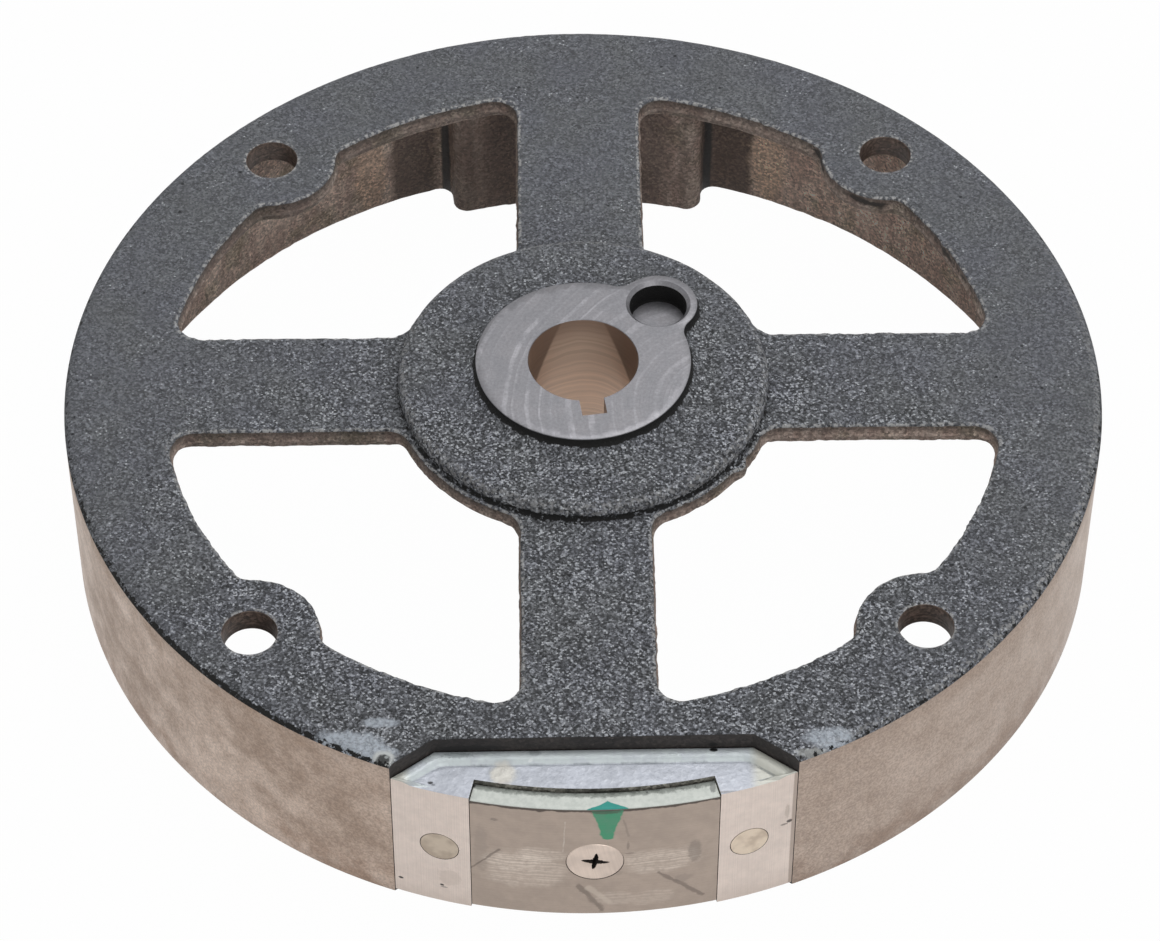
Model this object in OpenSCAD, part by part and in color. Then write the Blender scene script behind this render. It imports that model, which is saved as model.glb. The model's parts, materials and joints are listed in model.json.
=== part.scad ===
// Magneto flywheel for a small engine.
// A cast iron wheel: a thin skirt under a flat web plate, with four spokes, a hub and a balance weight,
// and a magnet group of aluminium, steel and magnet let into its rim.
// The wheel lies on the edge of its skirt with the hub face up, and the shaft's axis is the Z axis.
// The magnet group faces -Y, and all sizes are in millimetres.

/* [Wheel] */
// Outside diameter of the machined rim
wheel_d = 209.55; // [180:0.05:255]
// Height of the rim, from the lower edge of the skirt to the cast top face
rim_h = 39.8; // [33:0.1:50]
// Thickness of the web plate that carries the spokes and the rim face
plate_t = 5.2; // [4:0.1:8]
// Thickness of the skirt at its lower edge
skirt_t = 3.8; // [3:0.1:6]
// How much thicker the skirt is where it meets the plate
skirt_draft = 0.9; // [0:0.1:2]
// Radius of the fillet between the skirt and the plate
skirt_fillet_r = 4; // [2:0.5:6]
// Radius of the cast corner round the rim face
rim_corner_r = 2.5; // [2:0.1:4]
// Drop from the rim face to the start of the machined side
rim_corner_drop = 1.2; // [0.5:0.1:1.9]

/* [Windows] */
// Width of the rim face, from a window to the outside
rim_face_w = 20; // [17:0.5:26]
// Width of each spoke
spoke_w = 25.8; // [18:0.1:32]
// Radius of a window's corners
window_corner_r = 5; // [3:0.5:6]
// Height of the parting line over the plate's underside
parting_z = 2; // [1:0.1:3]
// Height of the flash along the parting line
flash_h = 0.6; // [0.3:0.1:1]
// How far the flash stands out of a window's wall
flash_out = 0.35; // [0.2:0.05:0.6]
// How far the lower half of a window's wall is set back
lower_setback = 0.5; // [0.2:0.1:1]
// How far the lower half of the hub web is set back
hub_setback = 1.6; // [0.5:0.1:2.5]

/* [Fan bolts] */
// Distance of the bolt circle from the outside of the rim
bolt_inset = 12.7; // [11:0.1:15]
// Diameter of the bolt holes
bolt_hole_d = 10.6; // [8:0.1:13]
// Iron left round a bolt hole by its ear
ear_wall = 8.2; // [6:0.1:10]
// Radius of the blend between an ear and the rim
ear_blend_r = 4; // [2:0.5:5]

/* [Hub] */
// Diameter of the hub web, where the spokes end
hub_web_d = 77; // [64:0.5:92]
// Ledge of hub web left round the raised disc
disc_ledge = 1.1; // [0.5:0.1:4]
// Height of the raised disc over the rim face
disc_h = 3.5; // [2:0.1:6]
// Radius round the top edge of the raised disc
disc_edge_r = 1.2; // [0.5:0.1:1.8]
// Diameter of the machined pad
pad_d = 43.4; // [38:0.1:52]
// Height of the machined pad over the raised disc
pad_h = 2.9; // [2:0.1:5]
// Length of the hub, from the pad down to the end of the barrel
hub_len = 31; // [26:0.5:38]
// Diameter of the barrel at its lower end
barrel_d = 40; // [36:0.5:46]
// Growth of the barrel's diameter towards the plate
barrel_draft = 3; // [0:0.5:5]
// Radius of the fillet between the barrel and the plate
barrel_fillet_r = 3; // [1:0.5:5]
// Diameter of the shaft bore
bore_d = 22.22; // [18:0.01:26]
// Chamfer at the lower end of the bore
bore_chamfer = 0.8; // [0.3:0.1:1.5]
// Width of the keyway
key_w = 5; // [4:0.1:6.5]
// Depth of the keyway below the bore's wall
key_depth = 4; // [2:0.1:5]
// Angle of the keyway about the shaft
key_angle = -82; // [-180:1:180]

/* [Drive lug] */
// Angle of the drive lug about the shaft
lug_angle = 45; // [0:1:90]
// Distance of the drive hole from the shaft's axis
lug_dist = 21.9; // [20:0.1:27]
// Diameter of the drive hole
drive_hole_d = 11.7; // [8:0.1:14]
// Depth of the drive hole
drive_hole_depth = 5.2; // [3:0.1:8]
// Chamfer at the mouth of the drive hole
drive_chamfer = 0.75; // [0.3:0.05:1.2]
// Iron left round the drive hole by the lug
lug_wall = 2.15; // [1.5:0.05:4]
// Radius of the blend between the lug and the pad
lug_blend_r = 4; // [2:0.5:6]

/* [Balance weight] */
// Width of the balance weight
weight_w = 55; // [30:1:80]
// Thickness of the balance weight, added to the skirt
weight_t = 8.8; // [6:0.1:14]
// Radius of the balance weight's corners
weight_corner_r = 3; // [1:0.5:4]

/* [Magnet group] */
// Angle of the magnet group from the front spoke
magnet_turn = 0.4; // [-10:0.1:10]
// Depth of the pocket at the middle of the group
pocket_depth = 13.5; // [11:0.1:16]
// Width of the slope at each end of the pocket
pocket_slope_w = 8.3; // [6:0.1:12]
// Iron left behind the pocket
boss_wall = 6.5; // [5:0.1:9]
// How far the iron behind the pocket's floor runs out past the floor's ends
boss_end = 2.2; // [1:0.1:4]
// Radius of the corners behind the pocket
boss_corner_r = 4; // [2:0.5:6]
// Angle that the pole shoe takes up
shoe_span = 26; // [20:0.5:32]
// Thickness of the pole shoe
shoe_t = 4; // [3:0.1:6]
// Drop from the rim face to the pole shoe's upper edge
shoe_drop = 5.2; // [4:0.1:8]
// Width of each machined side face of the retainer, along the rim
side_face_w = 15.7; // [13:0.1:20]
// Drop from the rim face to the retainer's top
retainer_drop = 3.8; // [3:0.1:6]
// Width of the raised border of the retainer's top, along the pocket's floor
retainer_border = 3; // [2:0.1:4]
// Width of that border at its two ends, along the rim
retainer_end_w = 4; // [3:0.1:6]
// Depth of the retainer's top inside its border
retainer_step = 0.9; // [0.4:0.1:1.2]
// Height of the retainer's lower face over the rim's lower edge
retainer_lift = 0.8; // [0:0.1:2]
// Height of the pole shoe's lower edge over the rim's lower edge
shoe_lift = 1.6; // [0:0.1:3]
// Width of the groove between the retainer's top and the pole shoe
groove_w = 0.6; // [0.3:0.1:1]
// Width of the magnet
magnet_w = 30; // [20:0.5:36]
// Height of the magnet over the rim's lower edge
magnet_floor = 5; // [4:0.1:8]
// Aluminium left over the magnet
magnet_roof = 3.5; // [2:0.1:7]
// Play between the magnet group's pieces
group_play = 0.15; // [0.05:0.05:0.3]

/* [Fasteners] */
// Diameter of the screw's head
screw_head_d = 11; // [9:0.1:13]
// Diameter of the screw's shank
screw_d = 6; // [5:0.1:7]
// Depth of the screw's conical head
screw_head_h = 2.8; // [2:0.1:3.5]
// Depth to which the screw goes into the wheel
screw_grip = 5; // [3:0.1:6]
// Width across the screw's cross recess
cross_w = 5.4; // [4:0.1:6.5]
// Width of each arm of the cross recess
cross_arm_w = 1.1; // [0.8:0.1:1.5]
// Depth of the cross recess
cross_depth = 2; // [1:0.1:2.4]
// Width of each arm at the bottom of the recess, as a share of its width at the top
cross_taper = 0.6; // [0.4:0.05:0.8]
// Turn of the cross recess, clockwise as seen from outside
cross_turn = 8; // [0:1:45]
// Diameter of the retaining pins
pin_d = 7.5; // [5:0.1:9]
// Distance of a pin from the edge of the pole shoe, along the rim
pin_inset = 6.2; // [5:0.1:8]
// Depth to which a pin goes into the wheel
pin_grip = 5; // [3:0.1:6]

/* [Hidden] */
$fn = 144;
// Small overlap that makes cuts run past a face, and joins solids that are one casting
over = 1;
// A blend's circle is drawn this much larger, so that it crosses both walls and leaves no knife edge
bite = 0.01;
wheel_r = wheel_d / 2;
plate_z = rim_h - plate_t;
disc_top_z = rim_h + disc_h;
pad_top_z = disc_top_z + pad_h;
hub_end_z = pad_top_z - hub_len;
skirt_in_r = wheel_r - skirt_t;
skirt_top_r = skirt_in_r - skirt_draft;
// The cast corner's centre is set in so that the machined side cuts the corner at its drop
corner_in = sqrt(pow(rim_corner_r, 2) - pow(rim_corner_r - rim_corner_drop, 2));
window_r = wheel_r - rim_face_w;
spoke_half = spoke_w / 2;
hub_web_r = hub_web_d / 2;
disc_r = hub_web_r - disc_ledge;
barrel_top_r = (barrel_d + barrel_draft) / 2;
bolt_r = wheel_r - bolt_inset;
ear_r = bolt_hole_d / 2 + ear_wall;
bore_r = bore_d / 2;
lug_at = lug_dist * [cos(lug_angle), sin(lug_angle)];
lug_r = drive_hole_d / 2 + lug_wall;
weight_in_r = skirt_in_r - weight_t;
pocket_y = wheel_r - pocket_depth;
shoe_half = shoe_span / 2;
mouth_half = shoe_half + turn_of(side_face_w);
mouth_x = wheel_r * sin(mouth_half);
mouth_y = wheel_r * cos(mouth_half);
floor_x = mouth_x - pocket_slope_w;
shoe_in_r = wheel_r - shoe_t;
shoe_top_z = rim_h - shoe_drop;
retainer_top_z = rim_h - retainer_drop;
sunk_top_z = retainer_top_z - retainer_step;
magnet_top_z = sunk_top_z - magnet_roof;
group_z = (magnet_floor + magnet_top_z) / 2;
pin_angle = shoe_half + turn_of(pin_inset);
pin_end_r = pocket_y / cos(pin_angle) - pin_grip;
boss_y = pocket_y - boss_wall;

function unit(v) = v / norm(v);
function at(radius, angle) = radius * [cos(angle), sin(angle)];
// Angle at the shaft of a length along the rim
function turn_of(length) = length / wheel_r * 180 / PI;
// Angle at the axis between two circle centres, from the three sides of their triangle
function angle_between(near, far, across) =
    acos((near * near + far * far - across * across) / (2 * near * far));

// The corner left between two walls and the circle that touches both at t1 and t2; deep lies inside it
module blend(centre, radius, t1, t2, deep) {
    difference() {
        polygon([t1, centre, t2, deep]);
        translate(centre) circle(r = radius + bite);
    }
}

// One window's outline in the first quadrant, drawn smaller by grow, between the rim, a hub and two spokes
module window_outline(grow, hub_r) {
    outer = window_r - grow;
    side = spoke_half + grow;
    inner = hub_r + grow;
    ear = ear_r + grow;
    r = window_corner_r;
    ear_at = at(bolt_r, 45);
    ear_swing = angle_between(bolt_r, outer - ear_blend_r, ear + ear_blend_r);
    rim_c = [side + r, sqrt(pow(outer - r, 2) - pow(side + r, 2))];
    hub_c = [side + r, sqrt(pow(inner + r, 2) - pow(side + r, 2))];
    ear_c = at(outer - ear_blend_r, 45 + ear_swing);
    difference() {
        intersection() {
            circle(r = outer);
            translate([side, side]) square(window_r);
        }
        circle(r = inner);
        translate(ear_at) circle(r = ear);
        for (flip = [0, 1]) mirror(flip * [1, -1]) {
            blend(rim_c, r, outer * unit(rim_c), [side, rim_c.y], [side - r, outer + r]);
            blend(hub_c, r, inner * unit(hub_c), [side, hub_c.y], [side - r, inner / 2]);
            blend(ear_c, ear_blend_r, outer * unit(ear_c), ear_at + ear * unit(ear_c - ear_at), ear_at);
        }
    }
}

module window_slab(z, height, grow, hub_r) {
    translate([0, 0, z]) linear_extrude(height)
        for (a = [0:90:270]) rotate(a) window_outline(grow, hub_r);
}

// The four windows: a set-back lower half, the flash at the parting line and the upper half
module windows() {
    flash_z = plate_z + parting_z;
    lower_hub_r = hub_web_r - hub_setback + lower_setback;
    window_slab(plate_z - over, parting_z + over, -lower_setback, lower_hub_r);
    window_slab(flash_z, flash_h, flash_out, hub_web_r);
    window_slab(flash_z + flash_h, plate_t - parting_z - flash_h + over, 0, hub_web_r);
}

// Section of the skirt and of the plate's outer edge
module rim_section() {
    r = rim_corner_r;
    f = skirt_fillet_r;
    difference() {
        polygon([[skirt_in_r, 0], [wheel_r, 0], [wheel_r, rim_h], [window_r + over, rim_h],
                 [window_r + over, plate_z], [skirt_top_r, plate_z]]);
        difference() {
            translate([wheel_r - corner_in, rim_h - r]) square(r + over);
            translate([wheel_r - corner_in, rim_h - r]) circle(r = r + bite);
        }
    }
    difference() {
        translate([skirt_top_r - f, plate_z - f]) square([f + over, f + over]);
        translate([skirt_top_r - f, plate_z - f]) circle(r = f + bite);
    }
}

// Section of the hub: barrel, web, raised disc and pad
module hub_section() {
    f = barrel_fillet_r;
    edge = disc_edge_r;
    polygon([[0, hub_end_z], [barrel_d / 2, hub_end_z], [barrel_top_r, plate_z],
             [barrel_top_r, plate_z + over], [0, plate_z + over]]);
    difference() {
        translate([barrel_top_r - over, plate_z - f]) square([f + over, f + over]);
        translate([barrel_top_r + f, plate_z - f]) circle(r = f + bite);
    }
    difference() {
        translate([0, plate_z + parting_z]) square([disc_r, disc_top_z - plate_z - parting_z]);
        difference() {
            translate([disc_r - edge, disc_top_z - edge]) square(edge + over);
            translate([disc_r - edge, disc_top_z - edge]) circle(r = edge + bite);
        }
    }
}

module pad_outline() {
    swing = angle_between(lug_dist, pad_d / 2 + lug_blend_r, lug_r + lug_blend_r);
    circle(r = pad_d / 2);
    translate(lug_at) circle(r = lug_r);
    for (s = [-1, 1]) {
        c = at(pad_d / 2 + lug_blend_r, lug_angle + s * swing);
        blend(c, lug_blend_r, pad_d / 2 * unit(c), lug_at + lug_r * unit(c - lug_at), lug_at);
    }
}

// Plan of the balance weight, with its inner corners rounded and its sides blended into the skirt
module weight_outline() {
    half = weight_w / 2;
    r = weight_corner_r;
    inner_c = [half - r, sqrt(pow(weight_in_r + r, 2) - pow(half - r, 2))];
    skirt_c = [half + r, sqrt(pow(skirt_in_r - r, 2) - pow(half + r, 2))];
    difference() {
        intersection() {
            circle(r = wheel_r - skirt_t / 2);
            translate([-half, 0]) square([weight_w, wheel_r]);
        }
        circle(r = weight_in_r);
        for (flip = [0, 1]) mirror([flip, 0])
            blend(inner_c, r, weight_in_r * unit(inner_c), [half, inner_c.y], [half + r, inner_c.y - 3 * r]);
    }
    for (flip = [0, 1]) mirror([flip, 0])
        blend(skirt_c, r, skirt_in_r * unit(skirt_c), [half, skirt_c.y], [half - r, wheel_r - skirt_t / 2]);
}

// Plan of the pocket for the magnet group, its slopes moved in by inset and its floor by back
module pocket_outline(inset, back = 0) {
    floor_y = pocket_y + back;
    x2 = mouth_x - inset;
    x1 = x2 - pocket_slope_w * (mouth_y - floor_y) / (mouth_y - pocket_y);
    out_y = wheel_r + over;
    polygon([[-x1, -floor_y], [x1, -floor_y], [x2, -mouth_y],
             [x2, -out_y], [-x2, -out_y], [-x2, -mouth_y]]);
}

// Plan of the iron behind the pocket, before the skirt takes it up
module boss_outline() {
    x1 = floor_x + boss_end;
    x2 = mouth_x + boss_wall;
    r = boss_corner_r;
    turn = atan2(mouth_y - pocket_y, pocket_slope_w);
    slope_y = boss_y + (x2 - x1) * tan(turn);
    set_in = r * tan(turn / 2);
    intersection() {
        circle(r = wheel_r - skirt_t / 2);
        difference() {
            polygon([[-x1, -boss_y], [x1, -boss_y], [x2, -slope_y], [x2, -wheel_r], [-x2, -wheel_r],
                     [-x2, -slope_y]]);
            for (flip = [0, 1]) mirror([flip, 0])
                blend([x1 - set_in, -boss_y - r], r, [x1 - set_in, -boss_y],
                      [x1 - set_in + r * sin(turn), -boss_y - r + r * cos(turn)],
                      [x1 + r / 2, -boss_y + r / 2]);
        }
    }
}

// Everything on the shaft side that a round tool makes: bore, keyway, drive hole and bolt holes
module machined_holes() {
    translate([0, 0, hub_end_z - over]) cylinder(r = bore_r, h = hub_len + 2 * over);
    translate([0, 0, hub_end_z - over])
        cylinder(r1 = bore_r + bore_chamfer + over, r2 = bore_r, h = bore_chamfer + over);
    rotate(key_angle) translate([0, -key_w / 2, hub_end_z - over])
        cube([bore_r + key_depth, key_w, hub_len + 2 * over]);
    translate([lug_at.x, lug_at.y, pad_top_z]) {
        translate([0, 0, -drive_hole_depth]) cylinder(d = drive_hole_d, h = drive_hole_depth + over);
        translate([0, 0, -drive_chamfer])
            cylinder(r1 = drive_hole_d / 2, r2 = drive_hole_d / 2 + drive_chamfer + over,
                     h = drive_chamfer + over);
    }
    for (a = [45:90:315]) rotate(a) translate([bolt_r, 0, plate_z - over])
        cylinder(d = bolt_hole_d, h = plate_t + 2 * over);
}

// A radial rod of the magnet group, from radius near to radius far, at angle off the group's middle
module rod(diameter, near, far, angle) {
    rotate(magnet_turn + angle) translate([0, -near, group_z]) rotate([90, 0, 0])
        cylinder(d = diameter, h = far - near);
}

module wheel_casting() {
    color("#5a5d64") difference() {
        union() {
            rotate_extrude() rim_section();
            difference() {
                translate([0, 0, plate_z]) cylinder(r = window_r + 2 * over, h = plate_t);
                windows();
            }
            rotate_extrude() hub_section();
            translate([0, 0, disc_top_z - over]) linear_extrude(pad_h + over) pad_outline();
            linear_extrude(plate_z + over) weight_outline();
            rotate(magnet_turn) linear_extrude(plate_z + over) boss_outline();
        }
        machined_holes();
        rotate(magnet_turn) translate([0, 0, -over]) linear_extrude(rim_h + 2 * over) pocket_outline(0);
        rod(screw_d + 2 * group_play, pocket_y - screw_grip - group_play, wheel_r, 0);
        for (s = [-1, 1]) rod(pin_d + 2 * group_play, pin_end_r - group_play, wheel_r, s * pin_angle);
    }
}

// Sector of a ring, its middle on -Y, from radius near to radius far
module ring_sector(near, far, half_angle, height) {
    reach = far + over;
    linear_extrude(height) difference() {
        intersection() {
            circle(r = far);
            polygon([[0, 0], reach * [-tan(half_angle), -1], reach * [tan(half_angle), -1]]);
        }
        circle(r = near);
    }
}

module magnet_retainer() {
    seat_r = shoe_in_r - groove_w;
    seat_half = shoe_half + turn_of(group_play);
    hollow_h = magnet_top_z - magnet_floor + group_play;
    color("#c8c6c2") difference() {
        rotate(magnet_turn) difference() {
            intersection() {
                translate([0, 0, retainer_lift]) linear_extrude(retainer_top_z - retainer_lift)
                    pocket_outline(group_play);
                cylinder(r = wheel_r, h = rim_h);
            }
            translate([0, 0, sunk_top_z]) linear_extrude(rim_h)
                pocket_outline(retainer_end_w, retainer_border);
            translate([0, 0, -over]) ring_sector(seat_r, wheel_r + over, seat_half, rim_h);
            translate([-magnet_w / 2 - group_play, -wheel_r, magnet_floor])
                cube([magnet_w + 2 * group_play, pocket_depth + over, hollow_h]);
        }
        for (s = [-1, 1]) rod(pin_d + 2 * group_play, pin_end_r - group_play, wheel_r + over, s * pin_angle);
    }
}

module pole_shoe() {
    color("#9a9088") difference() {
        rotate(magnet_turn) translate([0, 0, shoe_lift])
            ring_sector(shoe_in_r, wheel_r, shoe_half, shoe_top_z - shoe_lift);
        rod(screw_d + 2 * group_play, shoe_in_r - over, wheel_r, 0);
        rotate(magnet_turn) translate([0, -wheel_r - over, group_z])
            rotate([-90, 0, 0]) screw_cone(group_play);
    }
}

// The screw's conical head, point down, with its rim at the wheel's outside and grown by play
module screw_cone(play) {
    slope = (screw_head_d - screw_d) / 2 / screw_head_h;
    cylinder(r1 = screw_head_d / 2 + play + slope * over, r2 = screw_d / 2 + play, h = screw_head_h + over);
}

module magnet() {
    color("#4a4a4c") difference() {
        rotate(magnet_turn) intersection() {
            translate([-magnet_w / 2, -wheel_r, magnet_floor])
                cube([magnet_w, pocket_depth, magnet_top_z - magnet_floor]);
            cylinder(r = shoe_in_r - group_play, h = rim_h);
        }
        rod(screw_d + 4 * group_play, pocket_y - over, wheel_r, 0);
    }
}

// One arm pair of the cross recess, narrower at its bottom
module cross_arm() {
    top = cross_w / 2;
    bottom = top * cross_taper;
    rotate([90, 0, 0]) translate([0, 0, -cross_arm_w / 2]) linear_extrude(cross_arm_w)
        polygon([[-top, over], [top, over], [bottom, -cross_depth], [-bottom, -cross_depth]]);
}

module pole_screw() {
    color("#b9ada2") rotate(magnet_turn) intersection() {
        cylinder(r = wheel_r, h = rim_h);
        translate([0, -wheel_r - over, group_z]) rotate([-90, 0, 0]) difference() {
            union() {
                screw_cone(0);
                cylinder(d = screw_d, h = pocket_depth + screw_grip + over);
            }
            translate([0, 0, over]) rotate([180, 0, 0]) for (a = [0, 90]) rotate(a - cross_turn) cross_arm();
        }
    }
}

module retaining_pin(side) {
    color("#bdb49a") intersection() {
        cylinder(r = wheel_r, h = rim_h);
        rod(pin_d, pin_end_r, wheel_r + over, side * pin_angle);
    }
}

wheel_casting();
magnet_retainer();
pole_shoe();
magnet();
pole_screw();
retaining_pin(-1);  // retaining_pin_left
retaining_pin(1);  // retaining_pin_right
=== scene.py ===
"""Looks of a magneto flywheel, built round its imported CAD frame.

The wheel casting is made again as one dense mesh with cast edges and finishes by zone. The magnet group's
pieces follow, then the stage. Lengths are in metres and angles in degrees. The numbers in tables of rows,
lumps and marks are in millimetres, and so is everything in the shader nodes.
"""

import json
import math
from functools import cache, cached_property
from itertools import accumulate
from math import cos, degrees, radians, sin, sqrt, tan

import bmesh
import bpy
import numpy as np
from bpy.props import FloatProperty, FloatVectorProperty, PointerProperty
from bpy.types import Operator, Panel, PropertyGroup
from mathutils import Matrix, Vector, noise
from mathutils.geometry import delaunay_2d_cdt
from mathutils.kdtree import KDTree


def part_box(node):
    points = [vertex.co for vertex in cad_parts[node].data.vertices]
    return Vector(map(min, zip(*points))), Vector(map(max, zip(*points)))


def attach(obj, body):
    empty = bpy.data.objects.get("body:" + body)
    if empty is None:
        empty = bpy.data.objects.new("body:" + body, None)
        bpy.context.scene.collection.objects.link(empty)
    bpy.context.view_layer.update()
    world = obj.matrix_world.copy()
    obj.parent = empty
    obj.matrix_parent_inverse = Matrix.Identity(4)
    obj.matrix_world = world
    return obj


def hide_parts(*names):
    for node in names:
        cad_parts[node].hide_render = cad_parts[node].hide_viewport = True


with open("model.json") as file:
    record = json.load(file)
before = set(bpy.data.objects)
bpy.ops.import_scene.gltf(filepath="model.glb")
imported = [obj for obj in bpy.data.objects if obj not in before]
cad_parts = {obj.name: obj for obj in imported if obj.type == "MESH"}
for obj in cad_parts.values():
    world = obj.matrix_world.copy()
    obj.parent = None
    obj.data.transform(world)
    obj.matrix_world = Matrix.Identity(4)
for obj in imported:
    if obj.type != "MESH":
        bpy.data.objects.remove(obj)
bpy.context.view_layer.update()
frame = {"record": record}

bl_info = {
    "name": "Magneto Flywheel",
    "version": (1, 0, 0),
    "blender": (4, 5, 0),
    "location": "View3D > Sidebar > Flywheel",
    "description": "Builds the castings, magnet group and stage of a magneto flywheel",
    "category": "Object",
}

MM = 0.001
# Points closer than this are one point
WELD = 2e-6
# A triangle with less than half of this area lies along a straight border and isn't kept
SLIVER = 1e-10
ORIGIN = Vector((0, 0))
# Steps along each round outline
RIM_STEPS = 900
SKIRT_STEPS = 150
DISC_STEPS = 420
DRIVE_STEPS = 110
BARREL_STEPS = 200
BOLT_STEPS = 84
PIN_STEPS = 72
SCREW_STEPS = 96
RECESS_STEPS = 144
# Steps to a side of the magnet's cavity
CAVITY_STEPS = 16
# Steps of the pole shoe's face, an end, its inner face and the other end
SHOE_STEPS = (64, 6, 64, 6)
# A filled face's inner points are moved by up to this share of their spacing, from this seed
SCATTER, SEED = 0.22, 7
# The share of their spacing that they keep from the border, and how near the triangulation tells points apart
CLEARANCE, TOLERANCE = 0.6, 1e-6
# Points tested at a time, which bounds the memory in use
BATCH = 2000
# Edges steeper than this are sharp
SHARP = radians(38)
# How far the retainer's raised border runs on past the pocket's ends, and the run over which it then fades
BORDER_RUN, BORDER_FADE = 2 * MM, 2.2 * MM
# Gap round the screw's head
HEAD_GAP = 0.07 * MM
MOUNTS = {m["name"]: m for m in frame["record"]["mounts"]}
WHEEL_LOW, WHEEL_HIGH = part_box("wheel_casting")
RIM_RADIUS = min(-WHEEL_LOW.x, WHEEL_HIGH.x, WHEEL_HIGH.y) / MM
RETAINER_LOW, RETAINER_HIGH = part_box("magnet_retainer")
SHOE_LOW, SHOE_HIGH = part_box("pole_shoe")
HUB_TOP = WHEEL_HIGH.z / MM
DRIVE_HOLE = Vector(MOUNTS["drive_hole"]["pos_m"]).xy
BOLT_CIRCLE = MOUNTS["bolt_circle"]["dims"]


# ---------------------------------------------------------------- sizes and colours

def length(name, description, size):
    """A length property, given here in millimetres and kept in metres."""
    return FloatProperty(name=name, description=description, default=size * MM, unit="LENGTH", precision=5)


def turn(name, description, angle):
    """An angle property, given here in degrees and kept in radians."""
    return FloatProperty(name=name, description=description, default=radians(angle), subtype="ANGLE")


def colour(name, description, code):
    """A colour property, given here as a display colour."""
    return FloatVectorProperty(
        name=name, description=description, default=display(code), subtype="COLOR", size=3, min=0, max=1
    )


class FlywheelWheelSizes(PropertyGroup):
    """Sizes of the rim, the web plate and its windows."""

    radius: length("Radius", "Radius of the machined rim", RIM_RADIUS)
    rim_height: length("Rim height", "Lower edge to cast top face", MOUNTS["bolt_circle"]["pos_m"][2] / MM)
    plate: length("Plate", "Thickness of the web plate", 5.2)
    skirt: length("Skirt", "Thickness of the skirt at its lower edge", 3.8)
    skirt_draft: length("Skirt draft", "Growth of the skirt's thickness up to the plate", 0.9)
    skirt_fillet: length("Skirt fillet", "Fillet between skirt and plate", 2.4)
    corner: length("Rim corner", "Radius of the cast corner round the top face", 2.5)
    corner_drop: length("Corner drop", "Top face down to the machined side", 1.2)
    rim_face: length("Rim face", "Width from a window to the outside", 20)
    spoke: length("Spoke", "Width of a spoke", 25.8)
    window_corner: length("Window corner", "Radius of a window's corners", 5)
    bolt_circle: length("Bolt circle", "Radius of the bolt circle", BOLT_CIRCLE["pcd_mm"] / 2)
    bolt_hole: length("Bolt hole", "Radius of a bolt hole", BOLT_CIRCLE["hole_r_mm"])
    ear_wall: length("Ear wall", "Iron left round a bolt hole", 8.2)
    ear_blend: length("Ear blend", "Blend between an ear and the rim", 4)
    weight: length("Weight width", "Width of the balance weight", 55)
    weight_depth: length("Weight depth", "Thickness of the balance weight", 8.8)
    weight_corner: length("Weight corner", "Radius of the balance weight's corners", 3)


class FlywheelHubSizes(PropertyGroup):
    """Sizes of the hub, its bore and its drive hole."""

    web: length("Hub web", "Radius at which the spokes end", 38.5)
    setback: length("Hub setback", "How far the lower half of the web's wall is set back", 1.6)
    disc: length("Disc", "Radius of the raised disc", 37.4)
    disc_top: length("Disc top", "Height of the raised disc's face", 43.3)
    disc_edge: length("Disc edge", "Radius round the disc's top edge", 1.9)
    pad: length("Pad", "Radius of the machined pad", 21.7)
    pad_top: length("Pad top", "Height of the machined pad's face", HUB_TOP)
    end: length("Hub end", "Height of the barrel's lower end", HUB_TOP - 31)
    barrel: length("Barrel", "Radius of the barrel's lower end", 20)
    barrel_top: length("Barrel top", "Radius of the barrel at the plate", 21.5)
    barrel_fillet: length("Barrel fillet", "Fillet between barrel and plate", 3)
    bore: length("Bore", "Radius of the shaft bore", MOUNTS["bore"]["dims"]["r_mm"])
    bore_chamfer: length("Bore chamfer", "Chamfer at the bore's lower end", 0.8)
    key_width: length("Key width", "Width of the keyway", 5)
    key_bottom: length("Key bottom", "Distance of the keyway's bottom from the axis", 15.11)
    key_turn: turn("Key angle", "Angle of the keyway about the shaft", -82)
    drive_hole: length("Drive hole", "Radius of the drive hole", MOUNTS["drive_hole"]["dims"]["r_mm"])
    drive_depth: length("Drive hole depth", "Depth of the drive hole", 5.2)
    drive_chamfer: length("Drive chamfer", "Chamfer at the drive hole's mouth", 0.75)
    lug_wall: length("Lug wall", "Iron left round the drive hole", 2.15)
    lug_blend: length("Lug blend", "Blend between the lug and the pad", 4)


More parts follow.
